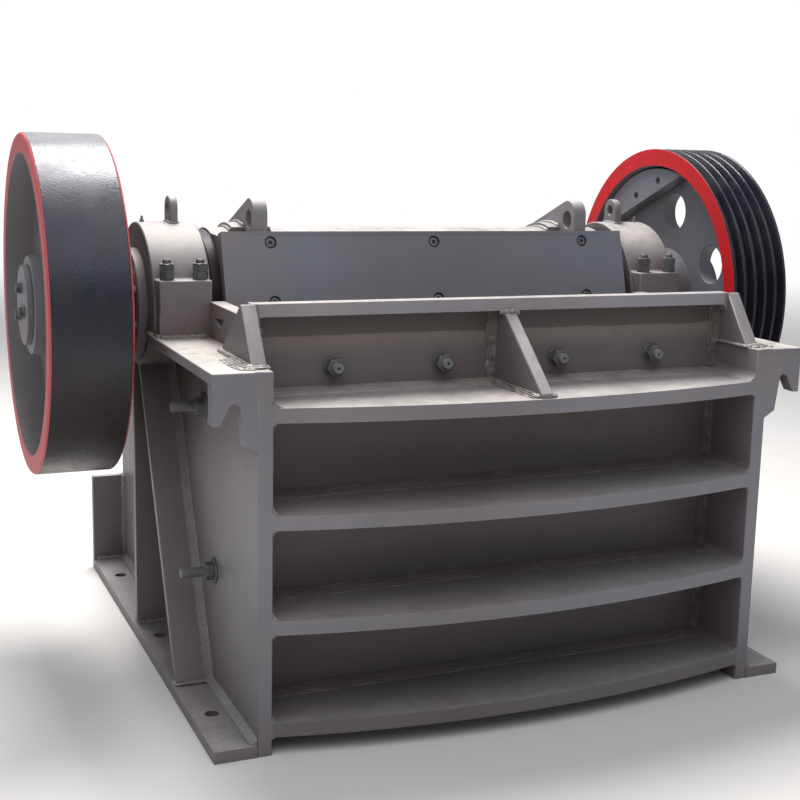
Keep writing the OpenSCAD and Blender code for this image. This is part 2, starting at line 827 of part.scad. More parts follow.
// Casting with barrel, front plate, ribs and toggle beam
module pitman() {
    half = pitman_w / 2;
    land = 120;
    rib_step = (pitman_w - pitman_rib_t) / (pitman_rib_n - 1);
    back = -barrel_r + pitman_plate_t - 1;
    color(paint) difference() {
        union() {
            on_jaw() along_x(-half, half) jaw_outline();
            for (i = [0 : pitman_rib_n - 1]) let(x = -half + i * rib_step)
                on_jaw() along_x(x, x + pitman_rib_t) polygon([
                    [back, -60], [150, -130], [60, toggle_seat_z + 205],
                    [toggle_seat_y, toggle_seat_z + beam_half + 10],
                    [toggle_seat_y, toggle_seat_z - beam_half - 8],
                    [back, -pitman_len - ledge_h + 4]
                ]);
            on_jaw() along_x(-half, half) polygon([
                [back, toggle_seat_z + beam_half + 50], [toggle_seat_y, toggle_seat_z + beam_half],
                [toggle_seat_y, toggle_seat_z - beam_half], [back, toggle_seat_z - beam_half]
            ]);
            both_sides() along_x(rod_slot_w / 2, rod_slot_w / 2 + rod_lug_t) {
                translate([rod_pin_y, rod_z]) circle(r = rod_lug_r);
                translate([rod_pin_y - rod_lug_r, rod_z]) square([2 * rod_lug_r, 56]);
            }
        }
        on_shaft(-half - 1) cylinder(d = barrel_shaft_d + 2 * run_gap, h = pitman_w + 2);
        on_shaft(-half + land) cylinder(d = barrel_shaft_d + 30, h = pitman_w - 2 * land);
        translate([0, toggle_front[0], toggle_front[1]])
            rod_x(toggle_end_d + 2 * toggle_room, -half - 1, half + 1);
        screw_places() rod_y(screw_d + 2 * fit_gap, -barrel_r - 1, -barrel_r + 40);
        translate([-rod_slot_w / 2, rod_pin_y - 44, rod_z - 50]) cube([rod_slot_w, 200, 94]);
        translate([0, rod_pin_y, rod_z])
            rod_x(rod_pin_d + 2 * fit_gap, -rod_pin_half, rod_pin_half);
    }
}

// Places of the cover plate's screws, three across in two rows
module screw_places() {
    on_jaw() for (x = screw_x) for (z = screw_z) translate([x, 0, z]) children();
}

module pitman_cover() {
    y0 = -barrel_r - cover_t;
    color(paint) difference() {
        on_jaw() translate([-cover_w / 2, y0, cover_top - cover_h])
            cube([cover_w, cover_t, cover_h]);
        screw_places() {
            rod_y(screw_d + 2 * fit_gap, y0 - 1, -barrel_r + 1);
            rod_y(screw_head_d + 4, y0 - 1, y0 + 16);
        }
    }
}

// Socket-head screws sunk in the cover plate
module cover_screws() {
    y0 = -barrel_r - cover_t;
    color("dimgray") screw_places() difference() {
        union() {
            rod_y(screw_d, y0 + 15, -barrel_r + 40);
            rod_y(screw_head_d, y0 + 2, y0 + 16);
        }
        translate([0, y0 + 1, 0]) rotate([-90, 0, 0])
            cylinder(d = screw_head_d / 2 + 1, h = 10, $fn = 6);
    }
}

// Angle of the outer tangent from circle a (radius ra) to circle b (radius rb)
function tangent_angle(a, b, ra, rb) =
    atan2(b[1] - a[1], b[0] - a[0]) + acos((ra - rb) / norm(b - a));

// Outline of a lifting eye, round at the front and lower towards the rear
module lug_outline() {
    a = lug_eye + [0, 12];
    b = [126, 172];
    ra = 45;
    rb = 30;
    g = tangent_angle(a, b, ra, rb);
    translate(a) circle(r = ra);
    translate(b) circle(r = rb);
    polygon([
        a + ra * [cos(g), sin(g)], b + rb * [cos(g), sin(g)],
        b + [rb, 0], b + [rb, -100], [a[0] - ra, 100], a - [ra, 0]
    ]);
}

// Band on top of the barrel, between two angles above +Y
module saddle_outline() {
    r = barrel_r + saddle_t;
    far = 2 * r;
    intersection() {
        circle(r = r);
        polygon([
            [0, 0], far * [cos(saddle_rear), sin(saddle_rear)], [0, far],
            far * [cos(saddle_front), sin(saddle_front)]
        ]);
    }
}

// Lifting eyes with the saddles that spread them over the barrel
module pitman_lugs() {
    color(paint) for (s = [-1, 1]) difference() {
        translate([s * lug_spacing / 2, shaft_y, shaft_z]) {
            along_x(-lug_t / 2, lug_t / 2) lug_outline();
            along_x(-saddle_w / 2, saddle_w / 2) saddle_outline();
        }
        on_jaw() along_x(-pitman_w / 2, pitman_w / 2) jaw_outline();
        on_jaw() along_x(-pitman_w / 2, pitman_w / 2)
            translate([-barrel_r - 60, cover_top - 200]) square([60, 194]);
        translate([s * lug_spacing / 2, shaft_y + lug_eye[0], shaft_z + lug_eye[1]])
            rod_x(lug_hole_d, -lug_t, lug_t);
    }
}

// Toothed plate on the front of the swing jaw, standing on its ledge
module swing_jaw_plate() {
    color("gray") on_jaw() translate([0, -barrel_r, -pitman_len])
        linear_extrude(pitman_len + jaw_top) mirror([0, 1])
            toothed(jaw_half, tooth_n, swing_jaw_t, tooth_depth, true);
}

// Dark rings that close the ends of the barrel
module pitman_seal() {
    on_shaft(pitman_w / 2) difference() {
        cylinder(d = barrel_d - 10, h = bearing_in - pitman_w / 2 - 7);
        translate([0, 0, -1]) cylinder(d = journal_d + 28, h = bearing_in);
    }
}

// Rod that pulls the swing jaw back, with its pin, spring plates and nuts
module tension_rod() {
    y0 = rod_pin_y;
    rear = spring_y + spring_len;
    color("dimgray") translate([0, 0, rod_z]) {
        rod_y(rod_d, y0, rod_end_y);
        translate([0, y0, 0]) rod_x(2 * rod_d, -rod_slot_w / 2 + 4, rod_slot_w / 2 - 4);
        translate([0, y0, 0]) rod_x(rod_pin_d, -rod_pin_half, rod_pin_half);
        rod_y(spring_plate_d, spring_y - plate_t, spring_y);
        rod_y(spring_plate_d, rear, rear + plate_t);
        translate([0, rear + plate_t + rod_nut_h, 0]) rotate([90, 0, 0]) nut(62, rod_nut_h);
    }
}

// Ring of points round the spring's wire at turn angle t
function wire_ring(t, y) = [
    for (k = [0 : 7]) let(q = k * 45, r = spring_r + spring_wire / 2 * cos(q))
        [r * cos(t), y + spring_wire / 2 * sin(q), r * sin(t)]
];

// Round wire wound about the rod
module tension_spring() {
    steps = 16 * spring_turns;
    span = spring_len - spring_wire;
    y0 = spring_y + spring_wire / 2;
    rings = [
        for (i = [0 : steps]) each wire_ring(i * 360 / 16, y0 + span * i / steps)
    ];
    faces = concat(
        [[for (k = [0 : 7]) k]],
        [[for (k = [7 : -1 : 0]) steps * 8 + k]],
        [
            for (i = [0 : steps - 1]) for (k = [0 : 7])
                [i * 8 + k, (i + 1) * 8 + k, (i + 1) * 8 + (k + 1) % 8, i * 8 + (k + 1) % 8]
        ]
    );
    color("dimgray") translate([0, 0, rod_z]) polyhedron(points = rings, faces = faces);
}

place() {
    on_left() side_plate();  // side_plate_left
    side_plate();  // side_plate_right
    on_left() foot_plate();  // foot_plate_left
    foot_plate();  // foot_plate_right
    color(paint) both_sides() deck_flange();  // deck_flanges
    color(paint) both_sides() lifting_hook();  // lifting_hooks
    on_left() side_ribs();  // side_ribs_left
    side_ribs();  // side_ribs_right
    front_wall();
    front_rib(0);  // front_rib_1
    front_rib(1);  // front_rib_2
    front_rib(2);  // front_rib_3
    front_rib(3);  // front_rib_4
    front_top_rib();
    front_centre_rib();
    rear_wall();
    rear_ribs();
    toggle_shelf();
    adjusting_block();
    shim_pack();
    toggle_plate();
    fixed_jaw_plate();
    on_left() cheek_plate();  // cheek_plate_left
    cheek_plate();  // cheek_plate_right
    jaw_bolts();
    color(bare) both_sides() cheek_bolt_set();  // cheek_bolts
    on_left() bearing_block();  // bearing_block_left
    bearing_block();  // bearing_block_right
    on_left() bearing_cap();  // bearing_cap_left
    bearing_cap();  // bearing_cap_right
    color(bare) both_sides() cap_stud_set();  // cap_studs
    color(paint) both_sides() bearing_cover_ring();  // bearing_covers
    color(paint) both_sides() cap_eye();  // cap_eyes
    eccentric_shaft();
    flywheel();
    end_disc(-flywheel_out + hub_step, -1);  // flywheel_disc
    color(paint) counterweight(-flywheel_in - flywheel_web_in, flywheel_weight_angle);  // flywheel_counterweight
    drive_pulley();
    end_disc(pulley_out - hub_step, 1);  // pulley_disc
    color(paint) counterweight(pulley_in + pulley_web_in - weight_t, pulley_weight_angle);  // pulley_counterweight
    pitman();
    pitman_cover();
    cover_screws();
    pitman_lugs();
    swing_jaw_plate();
    color(dark) both_sides() pitman_seal();  // pitman_seals
    tension_rod();
    tension_spring();
}
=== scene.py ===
import json
import math

import bmesh
import bpy
import numpy as np
from mathutils import Matrix, Vector
from mathutils.bvhtree import BVHTree


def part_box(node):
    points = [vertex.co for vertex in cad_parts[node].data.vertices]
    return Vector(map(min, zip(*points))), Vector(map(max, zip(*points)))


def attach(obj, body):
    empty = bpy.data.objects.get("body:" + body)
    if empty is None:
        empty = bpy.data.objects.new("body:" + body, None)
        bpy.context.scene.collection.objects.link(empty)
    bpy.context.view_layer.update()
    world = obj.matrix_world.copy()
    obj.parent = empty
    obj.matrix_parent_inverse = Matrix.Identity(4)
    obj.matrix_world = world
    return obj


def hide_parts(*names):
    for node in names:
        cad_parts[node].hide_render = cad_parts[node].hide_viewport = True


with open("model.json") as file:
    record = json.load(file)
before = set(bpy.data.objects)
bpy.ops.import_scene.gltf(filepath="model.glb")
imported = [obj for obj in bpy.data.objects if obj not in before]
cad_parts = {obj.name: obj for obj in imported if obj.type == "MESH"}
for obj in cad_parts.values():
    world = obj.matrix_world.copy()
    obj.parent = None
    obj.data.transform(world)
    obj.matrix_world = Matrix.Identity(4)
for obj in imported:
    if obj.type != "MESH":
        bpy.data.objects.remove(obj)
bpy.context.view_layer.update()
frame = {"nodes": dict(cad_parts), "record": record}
nodes = frame["nodes"]
scene = bpy.context.scene
bodyOf = {node: body for body, group in frame["record"]["behaviour"]["bodies"].items()
          for node in group}
slotOf = {row["node"]: row["material_slot"] for row in frame["record"]["subparts"]}
print("frame loaded with", len(nodes), "nodes")

# Camera and light

camera = {
    "place": (-1.549, -3.605, 1.423),
    "yaw": 23.77,  # degrees from +Y towards +X
    "pitch": 10.45,  # degrees down
    "roll": 1.46,
    "lens": 59.9,
    "shift": (-0.0242, -0.0096),
}
light = {
    "world": 0.33,
    "worldTint": (0.87, 0.935, 1.04),
    "glossShare": 0.22,  # how much of the white background shows in reflections
    "key": {"size": 2.5, "place": (-0.15, 1.6, 5.3), "power": 410, "tint": (1.0, 0.972, 0.94)},
    "rear": {"size": 2.8, "place": (-0.3, 3.9, 3.7), "power": 38, "tint": (1.0, 0.985, 0.97)},
    "fill": {"size": 4.8, "place": (-1.0, -2.4, 4.0), "power": 90, "tint": (0.98, 0.965, 0.97)},
    "floor": (0.69, 0.674, 0.658),
    "floorPatch": (0.74, 0.724, 0.706),
    "floorReach": 40.0,
    "fadeFrom": 4.5,
    "fadeTo": 13.0,
}


def makeCamera(look):
    # right, up and back axes of the view, rolled about the line of sight
    yaw, pitch, roll = (math.radians(look[k]) for k in ("yaw", "pitch", "roll"))
    ahead = Vector((math.sin(yaw) * math.cos(pitch), math.cos(yaw) * math.cos(pitch),
                    -math.sin(pitch)))
    right = Vector((math.cos(yaw), -math.sin(yaw), 0))
    up = right.cross(ahead)
    across = right * math.cos(roll) + up * math.sin(roll)
    above = up * math.cos(roll) - right * math.sin(roll)
    data = bpy.data.cameras.new("photoCamera")
    data.lens = look["lens"]
    data.shift_x, data.shift_y = look["shift"]
    data.clip_end = 200
    eye = bpy.data.objects.new("photoCamera", data)
    eye.matrix_world = Matrix((
        (across.x, above.x, -ahead.x, look["place"][0]),
        (across.y, above.y, -ahead.y, look["place"][1]),
        (across.z, above.z, -ahead.z, look["place"][2]),
        (0, 0, 0, 1),
    ))
    scene.collection.objects.link(eye)
    scene.camera = eye


def makeLamp(name, look):
    data = bpy.data.lights.new(name, "AREA")
    data.shape = "DISK"
    data.size = look["size"]
    data.energy = look["power"]
    data.color = look["tint"]
    lamp = bpy.data.objects.new(name, data)
    lamp.location = look["place"]
    aim = Vector((0, 0, 0.6)) - lamp.location
    lamp.rotation_euler = aim.to_track_quat("-Z", "Y").to_euler()
    scene.collection.objects.link(lamp)


# Shader maths

class Wire:
    # a shader socket that can stand in sums

    def __init__(self, tree, socket):
        self.tree = tree
        self.socket = socket

    def calc(self, operation, *others):
        return addNode(self.tree, "Math", {"operation": operation}, [self, *others])

    def other(self, key):
        # another output of the same node
        return Wire(self.tree, self.socket.node.outputs[key])

    def __add__(self, other):
        return self.calc("ADD", other)

    def __mul__(self, other):
        return self.calc("MULTIPLY", other)

    def __sub__(self, other):
        return self.calc("SUBTRACT", other)

    def __rsub__(self, other):
        return addNode(self.tree, "Math", {"operation": "SUBTRACT"}, [other, self])

    __radd__ = __add__
    __rmul__ = __mul__


def addNode(tree, kind, settings=None, values=(), output=0):
    # one node: settings first, then values or wires on its sockets, by order or by name
    node = tree.nodes.new("ShaderNode" + kind)
    for key, value in (settings or {}).items():
        setattr(node, key, value)
    pairs = values.items() if isinstance(values, dict) else enumerate(values)
    for key, value in pairs:
        if isinstance(value, Wire):
            tree.links.new(value.socket, node.inputs[key])
        else:
            node.inputs[key].default_value = value
    return Wire(tree, node.outputs[output])


class Finish:
    # a material under construction, with the patterns that this machine's finishes share

    def __init__(self, name, **constants):
        self.material = bpy.data.materials.new(name)
        self.material.use_nodes = True
        self.tree = self.material.node_tree
        self.shader = self.tree.nodes["Principled BSDF"]
        for socket, value in constants.items():
            self.shader.inputs[socket.replace("_", " ")].default_value = value
        self.place = addNode(self.tree, "TexCoord", output=3)
        self.x = self.add("SeparateXYZ", {}, [self.place])
        self.y, self.z = self.x.other(1), self.x.other(2)

    def add(self, kind, settings=None, values=(), output=0):
        return addNode(self.tree, kind, settings, values, output)

    def noise(self, scale, detail=3.0, roughness=0.55, stretch=(1, 1, 1)):
        moved = self.add("Mapping", {}, {"Vector": self.place, "Scale": stretch})
        return self.add("TexNoise", {}, {"Vector": moved, "Scale": scale, "Detail": detail,
                                         "Roughness": roughness})

    def cells(self, scale, stretch=(1, 1, 1)):
        # distance to the nearest of many scattered points
        moved = self.add("Mapping", {}, {"Vector": self.place, "Scale": stretch})
        return self.add("TexVoronoi", {}, {"Vector": moved, "Scale": scale})

    def step(self, value, low, high):
        # 0 below low, 1 above high, smooth between
        return self.add("MapRange", {"interpolation_type": "SMOOTHSTEP"},
                        {"Value": value, "From Min": low, "From Max": high})

    def blend(self, share, first, second):
        first, second = (c if isinstance(c, Wire) else (*c, 1) for c in (first, second))
        return self.add("Mix", {"data_type": "RGBA"}, {0: share, 6: first, 7: second}, output=2)

    def scaled(self, colour, amount):
        return self.add("VectorMath", {"operation": "SCALE"}, {0: colour, 3: amount})

    def facing(self, axis):
        # part of the object's own normal along one axis
        return self.add("SeparateXYZ", {}, [self.add("TexCoord", output=1)], output=axis)

    def edges(self, radius):
        # 1 on edges narrower than the radius, from how far a rounded normal leans
        rounded = self.add("Bevel", {"samples": 4}, {"Radius": radius})
        normal = self.add("NewGeometry", output=1)
        lean = self.add("VectorMath", {"operation": "DOT_PRODUCT"}, {0: rounded, 1: normal}, output=1)
        return self.step(1 - lean, 0.02, 0.12)

    def corners(self, reach):
        # 1 deep in inside corners, 0 on open faces
        return 1 - self.add("AmbientOcclusion", {"samples": 6}, {"Distance": reach}, output=1)

    def use(self, **wires):
        for socket, wire in wires.items():
            self.tree.links.new(wire.socket, self.shader.inputs[socket.replace("_", " ")])
        return self.material

    def bump(self, height, depth, under=None):
        values = {"Height": height, "Distance": depth, "Strength": 1.0}
        if under:
            values["Normal"] = under
        return self.add("Bump", {}, values)


# Finishes

paintLook = {
    "grey": (0.212, 0.193, 0.202),
    "deepGrey": (0.162, 0.148, 0.156),
    "coolGrey": (0.174, 0.188, 0.228),
    # pale dust on tops; on the paint it also stands for sunlit tops, a painted highlight
    "dust": (0.55, 0.515, 0.475),
    "pocket": (0.124, 0.084, 0.073),  # painted shade: brown darkening deep in pockets, where little light reaches
    "grime": (0.085, 0.078, 0.072),
    "bareSteel": (0.34, 0.325, 0.31),
    "primer": (0.072, 0.056, 0.050),  # painted shadow under the top rib
    # a paler warm band on the wall just below the painted shadow
    "wallDust": (0.220, 0.180, 0.160),
    "wallDirt": (0.112, 0.094, 0.092),
    "pocketReach": 0.35,
    "cornerReach": 0.05,
    "wornEdge": 0.004,
    "orangePeel": 0.00010,
    "plateWave": 0.0005,
    "brushMarks": 0.00015,
}


def paintedGrey(name, tint=1.0, dustAndSunlitTops=0.6, cool=0.35, cast=0.0, pocket=1.0, ribShadowEdge=None):
    # brushed and sprayed machine paint: slow clouds, small mottling, pale dust on tops that also
    # stands for painted sunlight, painted shade deep in pockets and in inside corners;
    # on the front wall, a painted shadow under the top rib above a given height, with a paler warm
    # band just below it
    f = Finish(name, Metallic=0.0, IOR=1.48)
    cloud = f.noise(1.3, 4)
    patch = f.noise(7.5, 5, 0.62)
    mottle = f.noise(34, 4, 0.6)
    speck = f.noise(190, 2)
    streak = f.noise(4.2, 4, 0.6, stretch=(5, 5, 0.45))
    base = f.blend(f.step(cloud, 0.36, 0.66), paintLook["deepGrey"], paintLook["grey"])
    base = f.blend(f.step(f.noise(0.9, 3), 0.4, 0.62) * cool, base, paintLook["coolGrey"])
    tone = 0.80 + 0.16 * patch + 0.1 * streak + 0.1 * mottle + 0.06 * speck
    colour = f.scaled(base, tone * tint)
    # painted shade: ambient occlusion over a wide reach darkens the pockets towards brown
    shadedPocket = f.step(f.corners(paintLook["pocketReach"]), 0.18, 0.80)
    up = f.step(f.facing(2), 0.45, 0.95)
    pocketShadeShare = shadedPocket * (0.50 + 0.35 * patch) * (1 - 0.6 * up) * pocket
    colour = f.blend(pocketShadeShare, colour, paintLook["pocket"])
    if ribShadowEdge:
        streaky = f.step(f.noise(2.2, 5, 0.65, stretch=(0.6, 1, 2.6)), 0.38, 0.62)
        colour = f.blend(0.25 + 0.55 * streaky, colour, paintLook["wallDirt"])
        # painted shadow under the top rib above a ragged edge, and a paler warm band just below it
        ragged = f.z + 0.022 * f.noise(5, 5, 0.65)
        dusty = f.step(ragged, ribShadowEdge - 0.050, ribShadowEdge + 0.004) * (0.30 + 0.55 * mottle)
        colour = f.blend(dusty, colour, paintLook["wallDust"])
        colour = f.blend(f.step(ragged, ribShadowEdge + 0.008, ribShadowEdge + 0.013) * 0.85, colour,
                         paintLook["primer"])
    # painted shade: inside corners and creases darkened in patches
    corner = f.step(f.corners(paintLook["cornerReach"]), 0.18, 0.62)
    colour = f.blend(corner * f.step(patch, 0.25, 0.7) * 0.35, colour, paintLook["grime"])
    # part dust, part painted sunlight: up-facing faces turn pale
    dust = up * (0.45 + 0.55 * f.step(patch * 0.6 + mottle * 0.4, 0.36, 0.64)) * dustAndSunlitTops
    dust = dust * (1 - shadedPocket) * (1 - shadedPocket) + up * shadedPocket * 0.06
    colour = f.blend(dust, colour, paintLook["dust"])
    worn = f.edges(paintLook["wornEdge"]) * f.step(f.noise(30, 4, 0.7), 0.52, 0.66)
    colour = f.blend(worn * 0.5, colour, paintLook["bareSteel"])
    nick = f.step(0.055 - f.cells(26), 0.0, 0.02) * f.step(f.noise(3.0, 2), 0.56, 0.64)
    colour = f.blend(nick * 0.45, colour, paintLook["bareSteel"])
    rough = 0.36 + 0.16 * patch + 0.12 * mottle + 0.22 * dust + 0.1 * corner
    wave = f.bump(f.noise(3.5, 2), paintLook["plateWave"])
    brush = f.bump(f.noise(60, 3, 0.6, stretch=(1, 1, 0.25)), paintLook["brushMarks"], wave)
    if cast:
        brush = f.bump(f.noise(38, 5, 0.65), cast, brush)
    skin = f.bump(f.noise(420, 2), paintLook["orangePeel"], brush)
    return f.use(Base_Color=colour, Roughness=rough, Normal=skin)


weldLook = {"scale": (0.225, 0.213, 0.208), "paint": (0.165, 0.156, 0.156),
            "crest": (0.42, 0.41, 0.40), "crestEdge": 0.0034}


def weldFinish(name):
    # overpainted weld metal: paint in the dips, paler crests as painted glints, painted shade in
    # pockets, fine slag grain
    f = Finish(name, Metallic=0.0, IOR=1.5)
    patch = f.noise(11, 5, 0.62)
    grain = f.noise(260, 3, 0.6)
    colour = f.blend(f.step(patch, 0.3, 0.72), weldLook["paint"], weldLook["scale"])
    # painted shade deep in pockets, as on the paint
    shadedPocket = f.step(f.corners(paintLook["pocketReach"]), 0.18, 0.80)
    colour = f.blend(shadedPocket * 0.6, colour, paintLook["pocket"])
    # painted glints: paler short dashes on the crests of the runs
    crest = f.edges(weldLook["crestEdge"]) * f.step(f.noise(46, 3), 0.46, 0.58)
    colour = f.blend(crest * (0.85 - 0.3 * shadedPocket), colour, weldLook["crest"])
    up = f.step(f.facing(2), 0.3, 0.95)
    colour = f.blend(up * patch * (1 - shadedPocket) * 0.6, colour, paintLook["dust"])
    return f.use(Base_Color=f.scaled(colour, 0.86 + 0.26 * grain), Roughness=0.36 + 0.2 * patch,
                 Normal=f.bump(grain, 0.0003))


wheelLook = {
    # black with a blue cast, a painted reflection of the sky; the brown-black below is a painted
    # reflection of the ground
    "black": (0.008, 0.009, 0.018),
    "brownBlack": (0.026, 0.017, 0.012),
    "red": (0.53, 0.008, 0.012),
    "deepRed": (0.455, 0.008, 0.011),
    "redDust": (0.58, 0.20, 0.21),
    "lip": (0.36, 0.36, 0.38),
    "lipEdge": 0.0011,
    "chipEdge": 0.003,
}


def treadFinish(name, lips):
    # glossy black brushed paint with orange peel; faces turned down are brown-black, a painted
    # reflection of the ground, and the black's blue cast stands for reflected sky; the lips between
    # belt grooves are rubbed pale
    f = Finish(name, Metallic=0.0, IOR=1.5, Specular_Tint=(0.88, 0.90, 1.0, 1.0))
    patch = f.noise(6.5, 5, 0.62)
    around = f.noise(3.0, 4, 0.6, stretch=(7, 1, 1))
    fine = f.noise(210, 3, 0.6)
    # painted reflection: faces turned down go brown-black as if they reflected the ground, mixed with
    # some random brown tone
    low = f.step(f.facing(2), 0.25, -0.5)
    colour = f.blend(low * 0.7 + f.step(patch * 0.6 + around * 0.4, 0.38, 0.66) * 0.3,
                     wheelLook["black"], wheelLook["brownBlack"])
    dusty = f.step(f.noise(2.2, 4), 0.5, 0.75) * f.step(f.facing(2), 0.2, 1.0)
    colour = f.blend(dusty * 0.12, colour, paintLook["dust"])
    rough = 0.15 + 0.26 * f.step(patch, 0.32, 0.68) + 0.06 * around + 0.15 * dusty
    if lips:
        rubbed = f.edges(wheelLook["lipEdge"]) * f.step(f.noise(9, 3), 0.25, 0.5)
        colour = f.blend(rubbed, colour, wheelLook["lip"])
        rough = rough + 0.1 * rubbed
    peel = f.bump(fine, 0.0006, f.bump(f.noise(75, 4, 0.7), 0.00035, f.bump(f.noise(14, 3), 0.0003)))
    return f.use(Base_Color=f.scaled(colour, 0.85 + 0.3 * fine), Roughness=rough, Normal=peel)


def redFinish(name, dust):
    # brushed red enamel on the rims' side faces, deeper where it is thin, paler where dust lies
    f = Finish(name, Metallic=0.0, IOR=1.45, Specular_IOR_Level=0.28)
    patch = f.noise(13, 5, 0.62)
    fine = f.noise(120, 3)
    colour = f.blend(f.step(patch, 0.35, 0.7), wheelLook["deepRed"], wheelLook["red"])
    colour = f.blend(dust * (0.6 + 0.8 * patch), colour, wheelLook["redDust"])
    chipped = f.edges(wheelLook["chipEdge"]) * f.step(f.noise(26, 4, 0.7), 0.55, 0.64)
    colour = f.blend(chipped * 0.7, colour, wheelLook["black"])
    return f.use(Base_Color=f.scaled(colour, 0.88 + 0.2 * fine), Roughness=0.44 + 0.16 * patch,
                 Normal=f.bump(fine, 0.0003))


def steelFinish(name, colour, roughness, metallic=0.85, grain=260, depth=0.0003):
    f = Finish(name, Metallic=metallic, IOR=1.5)
    patch = f.noise(14, 5, 0.65)
    fine = f.noise(grain, 3, 0.6)
    dark = tuple(0.62 * c for c in colour)
    shade = f.scaled(f.blend(patch, dark, colour), 0.85 + 0.25 * fine)
    rough = roughness - 0.12 + 0.24 * patch
    return f.use(Base_Color=shade, Roughness=rough, Normal=f.bump(fine, depth))


jawLook = {
    "skin": (0.125, 0.112, 0.102),
    "crest": (0.30, 0.285, 0.27),
    "rust": (0.15, 0.075, 0.04),
    "crestEdge": 0.005,
}


def castFinish(name):
    # manganese steel as cast: sandy skin, slight rust bloom, paler crests where it was handled
    f = Finish(name, Metallic=0.35, IOR=1.5)
    patch = f.noise(8, 5, 0.65)
    sand = f.noise(170, 4, 0.7)
    colour = f.blend(f.step(f.noise(5, 5, 0.7), 0.5, 0.7) * 0.55, jawLook["skin"], jawLook["rust"])
    crest = f.edges(jawLook["crestEdge"]) * f.step(patch, 0.35, 0.6)
    colour = f.blend(crest * 0.7, colour, jawLook["crest"])
    pit = f.bump(sand, 0.0009, f.bump(f.noise(30, 4), 0.0012))
    return f.use(Base_Color=f.scaled(colour, 0.8 + 0.4 * sand), Roughness=0.55 + 0.2 * patch,
                 Normal=pit)


boltLook = {
    "oversprayDark": (0.085, 0.085, 0.092),
    "overspray": (0.170, 0.170, 0.178),
    "bare": (0.40, 0.38, 0.36),
    "bareEdge": 0.0022,
}


def boltFinish(name, dark=1.0):
    # grey overspray with bare steel on the edges and faces that a spanner touches
    f = Finish(name, IOR=1.5)
    patch = f.noise(30, 4, 0.65)
    bare = f.edges(boltLook["bareEdge"]) * f.step(patch, 0.35, 0.6)
    grey = f.scaled(f.blend(patch, boltLook["oversprayDark"], boltLook["overspray"]),
                    (0.9 + 0.2 * f.noise(200, 2)) * dark)
    colour = f.blend(bare * 0.6, grey, boltLook["bare"])
    return f.use(Base_Color=colour, Roughness=0.46 - 0.12 * bare + 0.12 * patch,
                 Metallic=0.08 + 0.45 * bare, Normal=f.bump(f.noise(300, 2), 0.0002))


sealLook = {"black": (0.008, 0.005, 0.010), "purple": (0.020, 0.014, 0.021)}


def sealFinish(name):
    # oiled black rubber
    f = Finish(name, Metallic=0.0, IOR=1.45, Specular_IOR_Level=0.2)
    patch = f.noise(12, 4, 0.6)
    return f.use(Base_Color=f.blend(patch, sealLook["black"], sealLook["purple"]),
                 Roughness=0.3 + 0.25 * patch, Normal=f.bump(f.noise(90, 3), 0.0004))


def stageFinish():
    # pale floor that fades to plain white far away
    f = Finish("paleFloor", Metallic=0.0, Roughness=0.9)
    away = (f.x * f.x + f.y * f.y).calc("SQRT")
    glow = f.add("Emission", {}, {"Color": (1, 1, 1, 1), "Strength": 1.0})
    lit = Wire(f.tree, f.shader.outputs[0])
    mixed = f.add("MixShader", {}, [f.step(away, light["fadeFrom"], light["fadeTo"]), lit, glow])
    f.tree.links.new(mixed.socket, f.tree.nodes["Material Output"].inputs[0])
    return f.use(Base_Color=f.blend(f.noise(1.2, 4), light["floor"], light["floorPatch"]))


def makeWorld():
    # plain light on the object, with a white background for the camera and for reflections
    world = bpy.data.worlds.new("studio")
    world.use_nodes = True
    tree = world.node_tree
    seen = addNode(tree, "LightPath", output="Is Camera Ray")
    gloss = seen.other("Is Glossy Ray") * light["glossShare"]
    seen = seen.calc("MAXIMUM", gloss).calc("MAXIMUM", seen.other("Is Transmission Ray"))
    strength = light["world"] + seen * (1 - light["world"])
    tree.links.new(strength.socket, tree.nodes["Background"].inputs["Strength"])
    tint = addNode(tree, "Mix", {"data_type": "RGBA"}, {0: seen, 6: (*light["worldTint"], 1),
                                                        7: (1, 1, 1, 1)}, output=2)
    tree.links.new(tint.socket, tree.nodes["Background"].inputs["Color"])
    scene.world = world


scene.view_settings.view_transform = "Standard"
makeCamera(camera)
makeWorld()
makeLamp("keyLamp", light["key"])
makeLamp("rearLamp", light["rear"])
makeLamp("fillLamp", light["fill"])
finishes = {
    "frame_paint": paintedGrey("greyPaint"),
    "wheel_paint": treadFinish("blackTread", lips=False),
    "wear_steel": castFinish("castWearSteel"),
    "bolt_steel": boltFinish("oversprayedBolts"),
    "shaft_steel": steelFinish("turnedSteel", (0.5, 0.49, 0.47), roughness=0.38),
    "seal_ring": sealFinish("darkSeal"),
    "dark_steel": steelFinish("darkPrimer", (0.11, 0.11, 0.115), roughness=0.6, metallic=0.3,
                              grain=180, depth=0.0004),
}
weldPaint = weldFinish("paintedWeld")
grooveBlack = treadFinish("groovedTread", lips=True)
rimRed = redFinish("rimRed", dust=0.0)
dustyRed = redFinish("dustyRed", dust=0.45)
wheelGrey = paintedGrey("wheelGrey", tint=0.84, dustAndSunlitTops=0.3, cool=1.0, pocket=0.3)
darkBolt = boltFinish("darkBolts", dark=0.45)
dirtyBolt = boltFinish("dirtyBolts", dark=0.68)
paleBolt = boltFinish("paleBolts", dark=1.35)
# bearing blocks and caps: cast skin, a darker copy of the paint as painted shade on the fronts, and
# paler tops as painted sunlight
castGrey = paintedGrey("castGrey", tint=0.86, dustAndSunlitTops=0.72, cool=0.3, cast=0.0006)
# deck: extra pale on top, part dust and part painted sunlight
deckGrey = paintedGrey("deckGrey", dustAndSunlitTops=0.95)
# lowest rib: a darker copy of the paint, painted shade near the ground
lowRibGrey = paintedGrey("lowRibGrey", tint=0.72, dustAndSunlitTops=0.5)
